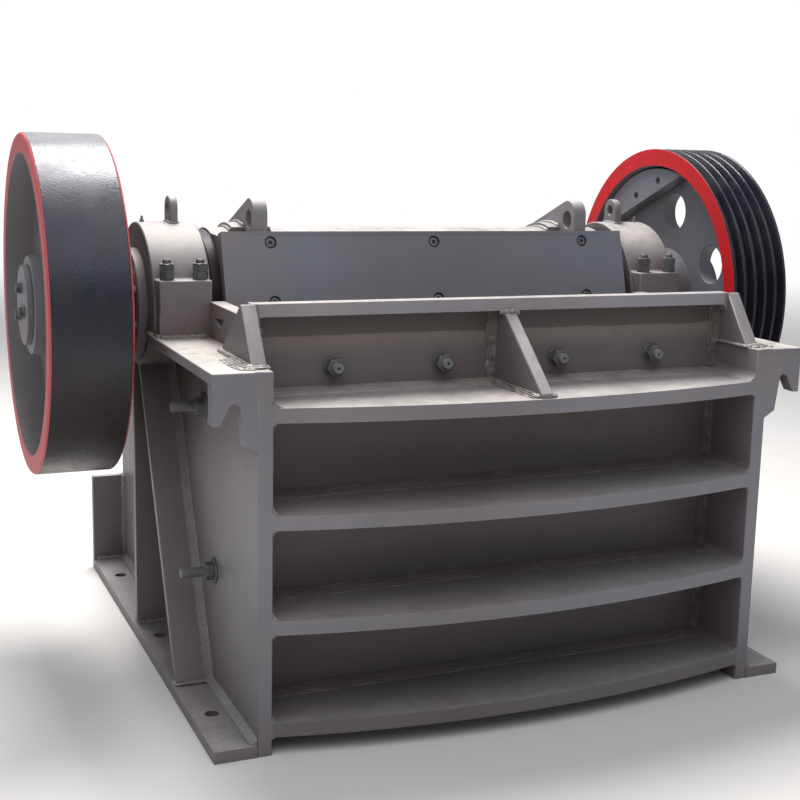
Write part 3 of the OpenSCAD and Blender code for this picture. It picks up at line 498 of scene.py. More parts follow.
# pitman cover: a darker, bluer copy of the paint, painted sky shade
coverGrey = paintedGrey("coverGrey", tint=0.90, cool=0.95)
# top rib: a brighter, bluer copy of the paint, painted sky light on its face
topRibGrey = paintedGrey("topRibGrey", tint=1.42, dustAndSunlitTops=0.5, cool=1.0, pocket=0.3)
frontRibs = {"tops": (0.836, 0.584, 0.332, 0.080), "thick": 0.035, "topRibThick": 0.031}
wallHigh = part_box("front_top_rib")[1].z - frontRibs["topRibThick"]
ribShadowShare = 0.28  # of the wall above the first rib, under the top rib, that the painted shadow covers
# front wall: dirt streaks, a painted shadow under the top rib, and a tint darker than the frame paint
# as painted shade of the recess
wallGrey = paintedGrey("wallGrey", tint=0.84, dustAndSunlitTops=0.5, cool=0.3,
                       ribShadowEdge=wallHigh - ribShadowShare * (wallHigh - frontRibs["tops"][0]))
screwBlack = boltFinish("screwBlack", dark=0.14)
print("camera, light and finishes made")

# Floor


def makeFloor():
    reach = light["floorReach"]
    mesh = bpy.data.meshes.new("floor")
    mesh.from_pydata([(-reach, -reach, 0), (reach, -reach, 0), (reach, reach, 0), (-reach, reach, 0)],
                     [], [(0, 1, 2, 3)])
    floor = bpy.data.objects.new("floor", mesh)
    scene.collection.objects.link(floor)
    mesh.materials.append(stageFinish())


makeFloor()

# Plates and castings: a merged copy of each node with eased edges

edgeWidth = {
    "side_plate_left": 0.003, "side_plate_right": 0.003, "foot_plate_left": 0.002,
    "foot_plate_right": 0.002, "deck_flanges": 0.003, "lifting_hooks": 0.002,
    "side_ribs_left": 0.002, "side_ribs_right": 0.002, "front_wall": 0.002,
    "front_rib_1": 0.005, "front_rib_2": 0.004, "front_rib_3": 0.004, "front_rib_4": 0.004,
    "front_top_rib": 0.003, "front_centre_rib": 0.003, "rear_wall": 0.002, "rear_ribs": 0.002,
    "toggle_shelf": 0.002, "adjusting_block": 0.002, "shim_pack": 0.001, "toggle_plate": 0.002,
    "cheek_plate_left": 0.003, "cheek_plate_right": 0.003, "bearing_block_left": 0.003,
    "bearing_block_right": 0.003, "bearing_cap_left": 0.004, "bearing_cap_right": 0.004,
    "bearing_covers": 0.002, "cap_eyes": 0.004, "pitman": 0.003, "pitman_cover": 0.003,
    "pitman_lugs": 0.004, "pitman_seals": 0.002, "eccentric_shaft": 0.002,
    "fixed_jaw_plate": 0.002, "swing_jaw_plate": 0.002, "drive_pulley": 0.0015,
    "flywheel": 0.002, "pulley_counterweight": 0.003, "flywheel_counterweight": 0.003,
}
easing = {"sharp": math.radians(28), "segments": 2, "covered": 0.0004, "samples": 7, "share": 0.55}


def mergedCopy(node):
    # a CAD node's loose triangles joined into one shell of flat and curved faces
    shape = bmesh.new()
    shape.from_mesh(nodes[node].data)
    bmesh.ops.remove_doubles(shape, verts=shape.verts, dist=1e-6)
    bmesh.ops.dissolve_limit(shape, angle_limit=math.radians(0.2), verts=shape.verts,
                             edges=shape.edges)
    return shape


trees = {}
for node, thing in nodes.items():
    shell = bmesh.new()
    shell.from_mesh(thing.data)
    trees[node] = BVHTree.FromBMesh(shell)
    shell.free()


def isCovered(edge, neighbours):
    # most of the edge lies on the surface of another piece, as at a ground weld
    a, b = (v.co for v in edge.verts)
    hits = 0
    for k in range(easing["samples"]):
        point = a.lerp(b, (k + 0.5) / easing["samples"])
        hits += any(tree.find_nearest(point, easing["covered"])[0] is not None
                    for tree in neighbours)
    return hits > easing["share"] * easing["samples"]


def boxesMeet(one, two, room=0.001):
    (lowA, highA), (lowB, highB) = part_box(one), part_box(two)
    return all(lowA[k] - room <= highB[k] and lowB[k] - room <= highA[k] for k in range(3))


def finishPiece(mesh, name, body, material):
    # a mesh object that rides on a body
    mesh.materials.append(material)
    piece = bpy.data.objects.new(name, mesh)
    scene.collection.objects.link(piece)
    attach(piece, body)
    return piece


def easedCopy(node, width):
    shape = mergedCopy(node)
    neighbours = [trees[other] for other in trees
                  if other != node and bodyOf[other] == bodyOf[node] and boxesMeet(node, other)]
    weights = shape.edges.layers.float.new("bevel_weight_edge")
    for edge in shape.edges:
        if len(edge.link_faces) == 2 and edge.calc_face_angle() > easing["sharp"]:
            edge[weights] = 0.0 if isCovered(edge, neighbours) else 1.0
    mesh = bpy.data.meshes.new(node + "_eased")
    shape.to_mesh(mesh)
    shape.free()
    mesh.shade_smooth()
    mesh.set_sharp_from_angle(angle=easing["sharp"])
    piece = finishPiece(mesh, node + "_eased", bodyOf[node], finishes[slotOf[node]])
    bevel = piece.modifiers.new("easedEdges", "BEVEL")
    bevel.width = width
    bevel.segments = easing["segments"]
    bevel.limit_method = "WEIGHT"
    bevel.use_clamp_overlap = True
    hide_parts(node)
    return piece


wheelZones = {"rim": 0.399, "outer": 0.451, "grooves": 0.026, "chamfer": 0.006}


def paintWheel(piece, red, tread):
    # grey web and hub, red side faces of the rim, black tread: told apart by radius and direction
    mesh = piece.data
    mesh.materials.append(red)
    mesh.materials.append(tread)
    axis = frame["record"]["behaviour"]["joints"][0]["pos_m"]
    points = np.empty(len(mesh.vertices) * 3)
    mesh.vertices.foreach_get("co", points)
    points = points.reshape(-1, 3)
    radius = np.hypot(*(points[:, 1:] - axis[1:]).T)
    low, high = points[:, 0].min() + wheelZones["chamfer"], points[:, 0].max() - wheelZones["chamfer"]
    atSide = (points[:, 0] < low) | (points[:, 0] > high)
    for face in mesh.polygons:
        corners = list(face.vertices)
        near = radius[corners].min()
        isSide = abs(face.normal.x) > 0.5 and atSide[corners].all()
        if isSide and near > wheelZones["rim"] - 0.001:
            face.material_index = 1
        elif near > wheelZones["outer"] - wheelZones["grooves"]:
            face.material_index = 2


eased = {node: easedCopy(node, width) for node, width in edgeWidth.items()}
for node, red, tread in (("flywheel", dustyRed, finishes["wheel_paint"]),
                         ("drive_pulley", rimRed, grooveBlack)):
    paintWheel(eased[node], red, tread)
repainted = {
    "flywheel": wheelGrey, "drive_pulley": wheelGrey, "pulley_counterweight": wheelGrey,
    "flywheel_counterweight": wheelGrey, "pitman_cover": coverGrey, "front_top_rib": topRibGrey,
    "front_wall": wallGrey, "deck_flanges": deckGrey, "front_rib_4": lowRibGrey,
    "bearing_block_left": castGrey, "bearing_block_right": castGrey, "bearing_cap_left": castGrey,
    "bearing_cap_right": castGrey,
}
for node, finish in repainted.items():
    eased[node].data.materials[0] = finish
print("plates and castings finished")

# Meshes from arrays


def gridFaces(rows, columns):
    # quads between neighbouring points of a grid whose columns join round
    i, j = np.meshgrid(np.arange(rows - 1), np.arange(columns), indexing="ij")
    a, b = i * columns + j, i * columns + (j + 1) % columns
    return np.stack([a, b, b + columns, a + columns], axis=-1).reshape(-1, 4)


def tube(points):
    # points[station, round, xyz]: a skin round the stations with a flat face on each end
    stations, around = points.shape[:2]
    faces = gridFaces(stations, around).tolist()
    faces.append(list(range(around)))
    faces.append([(stations - 1) * around + k for k in range(around)])
    return points.reshape(-1, 3), faces


def joined(parts):
    # several (points, faces) pairs as one
    verts, faces, start = [], [], 0
    for points, quads in parts:
        verts.append(points)
        faces += [[start + k for k in face] for face in quads]
        start += len(points)
    return np.concatenate(verts), faces


def arrayPiece(name, parts, body, material, sharp=35):
    # one object from closed parts, its faces turned outwards
    verts, faces = joined(parts)
    mesh = bpy.data.meshes.new(name)
    mesh.from_pydata(verts.tolist(), [], faces)
    shape = bmesh.new()
    shape.from_mesh(mesh)
    bmesh.ops.recalc_face_normals(shape, faces=shape.faces)
    shape.to_mesh(mesh)
    shape.free()
    mesh.shade_smooth()
    mesh.set_sharp_from_angle(angle=math.radians(sharp))
    return finishPiece(mesh, name, body, material)


def turnTo(points, axis, at=(0, 0, 0), spin=0.0):
    # turns local Z to an axis, spun about it, and moves the points to a place
    turn = Vector(axis).to_track_quat("Z", "Y").to_matrix() @ Matrix.Rotation(spin, 3, "Z")
    return points @ np.array(turn).T + np.array(at)


def allRound(count):
    # angles spaced evenly round a circle
    return np.arange(count) * 2 * np.pi / count


def ringStack(rows, a):
    # one ring (r cos a, r sin a, h) for each pair of radius and height, numbers or arrays along a
    return np.stack([np.stack([r * np.cos(a), r * np.sin(a), h + 0 * a], axis=-1) for r, h in rows])


def turned(profile, around=32):
    # radius and height pairs carried round Z
    return ringStack(profile, allRound(around))


def hexReach(a, flat):
    # radius of a hexagon with this width across its flats, at angle a
    return flat / 2 / np.cos(a % (np.pi / 3) - np.pi / 6)


def hexNut(flat, height, both=True):
    # hexagonal prism cut by a 30 degree cone on its top, and on its underside where both
    a = allRound(48)
    reach, crown = hexReach(a, flat), 0.475 * flat
    cut = np.maximum(reach - crown, 0) * math.tan(math.radians(30))
    ring = np.full_like(a, crown)
    rows = [(ring, 0 * a), (reach, cut)] if both else [(reach, 0 * a)]
    rows += [(reach, height - cut), (ring, 0 * a + height)]
    return ringStack(rows, a)


def thread(radius, start, end, pitch, depth, around=20, tip=0.35):
    # screw thread: the radius dips with the place along a pitch, which slips round with the angle
    stations = int((end - start) / pitch * 6) + 2
    h = np.linspace(start, end, stations)[:, None]
    a = allRound(around)[None, :]
    phase = (h / pitch - a / (2 * np.pi)) % 1
    dip = depth * (1 - np.abs(2 * phase - 1)) ** 0.8
    fade = np.clip((end - h) / (radius * tip), 0, 1)
    r = (radius - dip) * (0.82 + 0.18 * np.sqrt(1 - (1 - fade) ** 2))
    return np.stack([r * np.cos(a), r * np.sin(a), h + 0 * a], axis=-1)


def drilled(points, end, holeR, depth):
    # a centre drilling in the end of a turned part: rings inwards to the hole and down to its bottom
    a = np.arctan2(points[-1, :, 1], points[-1, :, 0])
    rows = [(holeR * 1.3, end), (holeR, end - 0.0006), (holeR * 0.9, end - depth),
            (0.0003, end - depth)]
    return np.concatenate([points, ringStack(rows, a)])


def chamferedDisc(radius, low, high, ease):
    # disc along Z with both rims eased
    return turned([(radius - ease, low), (radius, low + ease), (radius, high - ease),
                   (radius - ease, high)], 64)


def placed(points, axis, at, spin=0.0):
    # a closed part from its rings, turned to an axis and moved to its place
    verts, faces = tube(points)
    return turnTo(verts, axis, at, spin), faces


# Weld beads and ground joints

rng = np.random.default_rng(7)
beadLook = {"pitch": 0.0085, "perPitch": 3, "across": 7, "perPass": 4, "ripple": 0.07, "curve": 0.35,
            "wander": 0.10, "ridge": 0.12, "manyRidge": 0.34, "manyRipple": 0.3}


def wave(s, lengths, amount):
    # sum of sines with random phases
    waves = sum(np.sin(2 * np.pi * s / w + rng.uniform(0, 6.28)) for w in lengths)
    return amount * waves / len(lengths)


def bead(path, sideA, sideB, width, passes=1, rough=1.0, bulge=0.27, sink=0.25):
    # fillet weld: u from 0 to 1 runs along the chord (1 - u) A + u B between its two legs, and is
    # lifted off it by a parabola 4 u (1 - u), the lobes |sin(pi p u)| of p passes and the ripples
    # that the arc leaves
    path = np.asarray(path, float)
    length = np.linalg.norm(np.diff(path, axis=0), axis=1)
    along = np.concatenate([[0], np.cumsum(length)])
    count = max(6, int(along[-1] / beadLook["pitch"] * beadLook["perPitch"]))
    s = np.linspace(0, along[-1], count)
    at = np.stack([np.interp(s, along, path[:, k]) for k in range(3)], axis=-1)
    sideA, sideB = (np.broadcast_to(np.asarray(side, float), path.shape) for side in (sideA, sideB))
    a = np.stack([np.interp(s, along, sideA[:, k]) for k in range(3)], axis=-1)[:, None, :]
    b = np.stack([np.interp(s, along, sideB[:, k]) for k in range(3)], axis=-1)[:, None, :]
    across = beadLook["across"] if passes == 1 else beadLook["perPass"] * passes + 1
    u = np.linspace(0, 1, across)[None, :]
    station = s[:, None]
    run = np.minimum((u[0] * passes).astype(int), passes - 1)
    swell = np.stack([wave(s, (0.05, 0.11, 0.23), 0.75) for _ in range(passes)], axis=-1)[:, run]
    slip = rng.uniform(0, 1, passes)[run] + beadLook["curve"] * 4 * u * (1 - u)
    ripple = np.cos(2 * np.pi * (station / beadLook["pitch"] - slip))
    many = passes > 2
    crest = 0 if passes == 1 else beadLook["manyRidge" if many else "ridge"]
    ridge = crest * rough * np.abs(np.sin(np.pi * passes * u)) * (1 + swell)
    ripple = ripple * beadLook["ripple"] * (beadLook["manyRipple"] if many else 1)
    grain = rng.normal(0, 0.02 * rough, ripple.shape)
    inner = 4 * u * (1 - u)
    drift = wave(s, (0.021, 0.037, 0.083), beadLook["wander"] * rough)[:, None]
    ends = np.clip(np.minimum(station, along[-1] - station) / (0.8 * width), 0, 1)
    size = width * (0.93 + drift) * (0.55 + 0.45 * np.sqrt(1 - (1 - ends) ** 2))
    lift = size * (bulge * inner + ridge + rough * ripple * np.sqrt(inner) + grain)
    out = (a + b) / np.linalg.norm(a + b, axis=-1, keepdims=True)
    skin = at[:, None, :] + size[..., None] * ((1 - u)[..., None] * a + u[..., None] * b)
    skin = skin + lift[..., None] * out
    root = at[:, None, :] - sink * width * (a + b)
    return tube(np.concatenate([skin, root], axis=1))


def longer(way, share):
    # a leg of a fillet weld that is longer than the other
    return share * np.array(way, float)


def flushWeld(start, end, across, normal, width, height=0.0004, rough=0.15):
    # ground weld: a low dome along a joint, u from -1 to 1 across it, height h (1 - u u)
    start, end, across, normal = (np.asarray(v, float) for v in (start, end, across, normal))
    length = np.linalg.norm(end - start)
    count = max(4, int(length / 0.008))
    s = np.linspace(0, length, count)
    u = np.linspace(-1, 1, 7)
    half = width / 2 * (1 + wave(s, (0.03, 0.07, 0.16), rough))
    lift = height * (1 + wave(s, (0.02, 0.05), 0.35))
    at = start + np.outer(s / length, end - start)
    low = np.linspace(1, -1, 3)[None, :, None] * across * half[:, None, None] * 0.9
    top = at[:, None, :] + half[:, None, None] * u[None, :, None] * across
    top = top + (lift[:, None] * (1 - u ** 2) - 0.00015)[..., None] * normal
    under = at[:, None, :] + low - 0.002 * normal
    return tube(np.concatenate([top, under], axis=1))


def blob(at, radii, seed):
    # lump of weld metal: a ball whose radius wanders with both angles
    shake = np.random.default_rng(seed)
    v = np.linspace(0.08, np.pi - 0.08, 11)[:, None]
    a = allRound(18)[None, :]
    wide = 0.13 * np.sin(3 * a + shake.uniform(0, 6)) * np.sin(v)
    r = 1 + wide + 0.1 * np.sin(2 * v + 2 * a + shake.uniform(0, 6))
    r = r + shake.normal(0, 0.03, r.shape)
    points = np.stack([r * np.sin(v) * np.cos(a), r * np.sin(v) * np.sin(a), r * np.cos(v)],
                      axis=-1)
    return tube(points * np.array(radii) + np.array(at))


class Seams:
    # the welds of one group: fillet beads and lumps, and joints ground flush

    def __init__(self):
        self.beads, self.ground = [], []

    def fillet(self, start, end, sideA, sideB, width, **more):
        self.beads.append(bead([start, end], sideA, sideB, width, **more))

    def lump(self, at, radii, seed):
        self.beads.append(blob(at, radii, seed))

    def flush(self, *where):
        self.ground.append(flushWeld(*where))

    def dotted(self, *where):
        # a low uneven line in the finish of the beads, left where a weld was ground away
        self.beads.append(flushWeld(*where))

    def finish(self, name, groundName=None):
        arrayPiece(name, self.beads, "frame", weldPaint)
        if groundName:
            arrayPiece(groundName, self.ground, "frame", finishes["frame_paint"])


# Places that the welds and fasteners share, from the frame

def lowOf(node):
    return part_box(node)[0]


def highOf(node):
    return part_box(node)[1]


shaftAt = np.array(frame["record"]["behaviour"]["joints"][0]["pos_m"])
plant = {
    "inX": lowOf("side_plate_right").x,
    "outX": highOf("side_plate_right").x,
    "frontY": lowOf("side_plate_right").y,
    "rearY": highOf("side_plate_right").y,
    "footTop": highOf("foot_plate_right").z,
    "deckTop": highOf("deck_flanges").z,
    "deckLow": lowOf("deck_flanges").z,
    "wallY": lowOf("front_wall").y,
    "rearFace": highOf("rear_wall").y,
    "rearTop": highOf("rear_wall").z,
    "ribTops": frontRibs["tops"],
    "ribThick": frontRibs["thick"],
    "topRibY": lowOf("front_top_rib").y,
    "topRibTop": highOf("front_top_rib").z,
    "topRibLow": wallHigh,
    "centreX": highOf("front_centre_rib").x,
}
forward, rearward, upward, downward = (0, -1, 0), (0, 1, 0), (0, 0, 1), (0, 0, -1)


def outward(side):
    return (side, 0, 0)


def inward(side):
    return (-side, 0, 0)


# Front: ribs, wall and corner welds

frontWelds = {
    "ribToWall": 0.012,
    "shelfLeg": 4.4,  # the shelf's leg of its weld is this much longer than the wall's
    "underRib": 0.009,
    "corner": 0.013,
    "cornerLeg": 2.0,
    "topRib": 0.007,
    "centre": 0.010,
    "cheek": 0.008,
    "cheekStart": 0.045,  # this and shelfStart are counted from the side plates' front edge
    "shelfEnd": 0.007,
    "shelfStart": 0.030,
    "ribJoint": 0.014,  # width of the ground weld where a rib meets a side plate's front edge
    "topRibJoint": (0.016, 0.0008),  # width and height of the ground welds at the top rib's ends
    "topRibSeam": (0.014, 0.0006),
}


def makeFrontWelds():
    # each rib: the weld on its shelf, the bead under it, the corners up to the rib above, its ends
    p, w = plant, frontWelds
    seams = Seams()
    wall, front, inner = p["wallY"], p["frontY"], p["inX"] - 0.001
    for k, top in enumerate(p["ribTops"]):
        low = top - p["ribThick"]
        above = p["topRibLow"] if k == 0 else p["ribTops"][k - 1] - p["ribThick"]
        seams.fillet((-inner, wall, top), (inner, wall, top), longer(forward, w["shelfLeg"]), upward,
                     w["ribToWall"], passes=5, rough=0.5, bulge=-0.02)
        if top > p["ribTops"][-1]:
            seams.fillet((-inner, wall, low), (inner, wall, low), forward, downward, w["underRib"])
        for side in (-1, 1):
            x = side * p["inX"]
            seams.fillet((x, wall, top), (x, wall, above), forward,
                         longer(inward(side), w["cornerLeg"]), w["corner"], passes=4, rough=1.4,
                         bulge=0.03)
            seams.fillet((x, wall, top), (x, front + w["shelfStart"], top), longer(inward(side), 2),
                         upward, w["shelfEnd"], passes=2, bulge=0.08)
            seams.flush((x, front, low - 0.004), (x, front, top + 0.006), outward(side), forward,
                        w["ribJoint"])
    z = p["topRibLow"]
    seams.fillet((-inner, wall, z), (inner, wall, z), forward, downward, w["topRib"])
    for side in (-1, 1):
        x = side * p["inX"]
        # joint of the side plate's sloped head, at the deck's height
        seams.fillet((x, wall, p["deckTop"]), (x, front + w["cheekStart"], p["deckTop"]),
                     longer(upward, 0.8), inward(side), w["cheek"])
        seams.flush((x, p["topRibY"] - 0.001, z), (x, p["topRibY"] - 0.001, p["topRibTop"]),
                    outward(side), forward, *w["topRibJoint"])
        seams.flush((x, p["topRibY"], p["topRibTop"]), (x, wall, p["topRibTop"]), outward(side),
                    upward, *w["topRibSeam"])
    seams.finish("front_welds", "front_ground_welds")


makeFrontWelds()

# lumps where the bead turns round the middle rib's toe and head: x, y, z and radius
ribLumps = {
    "toe": ((-0.020, 0.016, 0, 0.011), (-0.006, 0.010, 0, 0.009), (0.008, 0.011, 0.001, 0.010),
            (0.022, 0.014, 0, 0.012), (0.028, 0.026, 0, 0.009)),
    "head": ((-0.020, 0.004, -0.004, 0.010), (-0.008, -0.002, -0.003, 0.012),
             (0.006, -0.003, -0.002, 0.011), (0.019, 0.002, -0.005, 0.011)),
}


def makeCentreRibWelds():
    p = plant
    z, wall, width = p["ribTops"][0], p["wallY"], frontWelds["centre"]
    tip = lowOf("front_centre_rib").y
    seams = Seams()
    for side in (-1, 1):
        x = side * p["centreX"]
        seams.fillet((x, wall, z), (x, tip + 0.012, z), longer(outward(side), 2.2), upward, width,
                     passes=3, rough=1.2, bulge=0.04)
        seams.fillet((x, wall, z), (x, wall, p["topRibLow"]), longer(outward(side), 2.4), forward,
                     width, passes=3, rough=1.8, bulge=0.04)
    for k, (x, y, dz, r) in enumerate(ribLumps["toe"]):
        seams.lump((x, tip + y, z + 0.003 + dz), (r, r * 0.9, r * 0.62), k)
    for k, (x, y, dz, r) in enumerate(ribLumps["head"]):
        seams.lump((x, p["topRibY"] + y, p["topRibLow"] + dz), (r, r * 0.7, r * 0.7), 20 + k)
    seams.finish("centre_rib_welds")


makeCentreRibWelds()
print("front welds made")

# Sides: foot plates, stiffeners, deck flanges and hooks

sideWelds = {
    "foot": 0.021,
    "slant": 0.021,
    "upright": 0.012,
    "deck": 0.011,
    "hook": 0.009,
    "horn": 0.010,
    "seat": 0.008,
    "ribWidth": 0.095,
    "slantLine": ((-0.377, 0.030), (0.052, 0.860)),  # y and z of the slanted stiffener's foot and head
    "slantThick": 0.025,
    "ribFoot": 0.010,
    "ribEnd": 0.009,
    "uprights": ((0.113, 0.138, 0.868), (0.762, None, 0.317)),  # front y, rear y and top of the others
    "deckRun": (0.042, -0.14),  # start of the bead below, behind the front edge, and its end
    "deckJoints": ((None, -0.735), (-0.47, -0.23)),  # ends of each ground joint along the top
    "deckJoint": 0.016,
    "deckFrontJoint": 0.014,
    "hookReach": 0.104,
    "hookBackReach": 0.100,
    "hookDots": (0.008, 0.0006, 0.7),  # width, height and unevenness of the dotted lines
    "deckDots": (0.006, 0.0005, 0.7),
    "hornFront": -0.738,
    "hornRuns": (-0.600, -0.610, -0.468),  # end of the wide run, start and end of the narrow one
    "hornToe": 0.009,
    "hornToeRun": (0.020, -0.034),  # how far the toe weld goes outwards and inwards
    "hornLumps": 12,
    "lump": (0.009, 0.007, 0.0045),
    "lugX": 0.7945,
    "bodyY": 0.211,
    "seatStart": 0.030,
}


def makeSideWelds(side):
    p, w = plant, sideWelds
    x, foot, front = side * p["outX"], p["footTop"], p["frontY"]
    out = outward(side)
    seams = Seams()
    seams.fillet((x, front + 0.004, foot), (x, p["rearY"] - 0.004, foot), out, upward, w["foot"],
                 passes=2, rough=0.5, bulge=0.10)
    # slanted stiffener: its line from the foot plate up to the bearing
    foot0, head0 = (np.array((0, *at)) for at in w["slantLine"])
    slope = (head0 - foot0) / np.linalg.norm(head0 - foot0)
    lean = np.array([0, -slope[2], slope[1]])
    foot0, head0 = foot0 + (x, 0, 0), head0 + (x, 0, 0)
    thick, edge = np.array([0, w["slantThick"], 0]), np.array([side * w["ribWidth"], 0, 0])
    seams.fillet(foot0, head0, out, lean, w["slant"], passes=2, rough=0.45, bulge=0.05)
    seams.fillet(foot0 + thick, head0 + thick, out, -lean, w["upright"])
    seams.fillet(foot0, foot0 + edge, lean, upward, w["ribFoot"], rough=1.6)
    seams.fillet(foot0 + thick, foot0 + thick + edge, rearward, upward, w["ribEnd"])
    seams.fillet(foot0 + edge - (0, 0.004, 0), foot0 + edge + thick, out, upward, w["ribEnd"],
                 rough=1.8)
    # upright stiffener and the one at the rear end
    for y0, y1, top in w["uprights"]:
        for y, way in ((y0, forward), (y1, rearward)):
            if y is not None:
                seams.fillet((x, y, foot), (x, y, top), out, way, w["upright"], rough=1.4)
                seams.fillet((x, y, foot), (x + side * w["ribWidth"], y, foot), way, upward,
                             w["ribFoot"], rough=1.6)
    # deck flange: underneath, and ground flush along its top and front
    low, top = p["deckLow"], p["deckTop"]
    start, end = w["deckRun"]
    seams.fillet((x, front + start, low), (x, end, low), out, downward, w["deck"])
    for y0, y1 in w["deckJoints"]:
        seams.flush((x, front if y0 is None else y0, top), (x, y1, top), out, upward, w["deckJoint"])
    seams.flush((x, front, low - 0.002), (x, front, top), out, forward, w["deckFrontJoint"])
    # hook: a dotted toe line on its front joint, beads behind it and under the deck
    hookLow, hookBack = lowOf("lifting_hooks").z, highOf("lifting_hooks").y
    face = front + 0.0006
    seams.dotted((x, face, hookLow), (x, face, low), out, forward, *w["hookDots"])
    seams.dotted((x, face, low), (x + side * w["hookReach"], face, low), upward, forward,
                 *w["deckDots"])
    seams.fillet((x, hookBack, hookLow), (x, hookBack, low), out, rearward, w["hook"])
    seams.fillet((x, hookBack, low), (x + side * w["hookBackReach"], hookBack, low), rearward,
                 downward, w["hook"])
    # horn on the deck: a wide weld of many thin runs, and lumps at its front foot
    horn, (wideEnd, thinStart, thinEnd) = w["hornFront"], w["hornRuns"]
    seams.fillet((x, horn, top), (x, wideEnd, top), longer(out, 4.2), upward, w["horn"], passes=5,
                 rough=1.4, bulge=-0.05)
    seams.fillet((x, thinStart, top), (x, thinEnd, top), longer(out, 1.2), upward, w["horn"],
                 rough=1.2)
    toeOut, toeIn = w["hornToeRun"]
    seams.fillet((x + side * toeOut, horn, top), (x + side * toeIn, horn, top), longer(forward, 1.6),
                 upward, w["hornToe"], passes=2, rough=1.8)
    for k in range(w["hornLumps"]):
        at = (x + side * rng.uniform(-0.03, 0.034), horn - 0.006 + rng.uniform(-0.014, 0.010), top)
        seams.lump(at, w["lump"], 40 + k + (20 if side > 0 else 0))
    # seat of the bearing on the deck: its two lugs and the round body between them
    lugX, bodyX, mid = w["lugX"] * side, highOf("bearing_block_right").x * side, shaftAt[1]
    seatY, bodyY = mid - lowOf("bearing_block_right").y, w["bodyY"]
    for seatX, y0, y1 in ((lugX, -seatY, -bodyY), (bodyX, -bodyY, bodyY), (lugX, bodyY, seatY)):
        seams.fillet((seatX, mid + y0, top), (seatX, mid + y1, top), out, upward, w["seat"], rough=1.8)
    seams.fillet((x - side * w["seatStart"], mid - seatY, top), (lugX, mid - seatY, top), forward,
                 upward, w["seat"], rough=1.8)
    name = "left" if side < 0 else "right"
    seams.finish("side_welds_" + name, "side_ground_welds_" + name)


for side in (-1, 1):
    makeSideWelds(side)
print("side welds made")

# Rear: wall, ribs and the toggle shelf

rearRibs = {
    "tops": (0.078, 0.330, 0.560),
    "depths": (0.200, 0.190, 0.120),
    "bead": 0.010,
    "wallBead": 0.012,
    "lowest": 0.050,  # no bead lies lower
    "cornerFrom": 0.080,
}


def makeRearWelds():
    # beads above and below each rib and at its ends, then the wall's corners and the toggle shelf
    p, r = plant, rearRibs
    y, inner = p["rearFace"], p["inX"] - 0.001
    seams = Seams()
    for top, depth in zip(r["tops"], r["depths"]):
        for z, way in ((top, upward), (top - p["ribThick"], downward)):
            if z > r["lowest"]:
                seams.fillet((-inner, y, z), (inner, y, z), rearward, way, r["bead"])
            for side in (-1, 1):
                x = side * p["inX"]
                seams.fillet((x, y, z), (x, y + depth, z), inward(side), way, r["bead"], rough=1.3)
    front = lowOf("rear_wall").y
    for side in (-1, 1):
        x = side * p["inX"]
        seams.fillet((x, y, r["cornerFrom"]), (x, y, p["rearTop"]), rearward, inward(side),
                     r["wallBead"], passes=2, bulge=0.12)
        seams.fillet((x, front, r["lowest"]), (x, front, p["rearTop"]), forward, inward(side),
                     r["wallBead"])
    shelfLow = lowOf("toggle_shelf").z
    seams.fillet((-inner, front, shelfLow), (inner, front, shelfLow), forward, downward, r["bead"])
    seams.finish("rear_welds")


makeRearWelds()
print("rear welds made")

# Lifting eyes on the barrel and on the bearing caps

eyeWelds = {
    "barrelR": 0.205,
    "lugX": 0.496,
    "saddle": 0.014,
    "lugHalf": 0.020,
    "lugArc": (40, 106),  # degrees above +Y, about the shaft
    "lugBead": 0.008,
    "saddleHalf": 0.056,
    "saddleArc": (34, 106),
    "saddleBead": 0.007,
    "capR": 0.2205,
    "capX": 0.7035,
    "capHalf": 0.011,
    "capArc": (81, 99),
    "capBead": 0.005,
}


def arcPath(radius, arc, x, count=30):
    # points on a circle about the shaft between two angles above +Y, with their outward directions
    a = np.radians(np.linspace(*arc, count))
    way = np.stack([0 * a, np.cos(a), np.sin(a)], axis=-1)
    return way * radius + (x, shaftAt[1], shaftAt[2]), way


def makeEyeWelds():
    # beads along both sides of each lug and of its saddle, and round each eye on the caps
    w = eyeWelds
    jaw, cap = [], []
    for side in (-1, 1):
        lugX, capX = side * w["lugX"], side * w["capX"]
        for way in (-1, 1):
            path, up = arcPath(w["barrelR"] + w["saddle"], w["lugArc"], lugX + way * w["lugHalf"])
            jaw.append(bead(path, outward(way), up, w["lugBead"], rough=1.2))
            path, up = arcPath(w["barrelR"], w["saddleArc"], lugX + way * w["saddleHalf"])
            jaw.append(bead(path, outward(way), up, w["saddleBead"], rough=1.0))
            path, up = arcPath(w["capR"], w["capArc"], capX + way * w["capHalf"])
            cap.append(bead(path, outward(way), up, w["capBead"], rough=1.3))
        for way, angle in ((forward, w["capArc"][1]), (rearward, w["capArc"][0])):
            path, up = arcPath(w["capR"], (angle, angle), 0, 2)
            path[:, 0] = capX + np.array((-w["capHalf"], w["capHalf"]))
            cap.append(bead(path, way, up, w["capBead"], rough=1.3))
    arrayPiece("barrel_eye_welds", jaw, "pitman", weldPaint)
    arrayPiece("cap_eye_welds", cap, "frame", weldPaint)


makeEyeWelds()
print("lifting eye welds made")

# Fasteners

capStuds = {"nutFlat": 0.036, "nutHeight": 0.0215, "studR": 0.012, "above": 0.013, "span": 0.044,
            "reach": 0.227, "lugTop": 1.068, "pitch": 0.003, "threadDepth": 0.0014, "slip": 0.12}


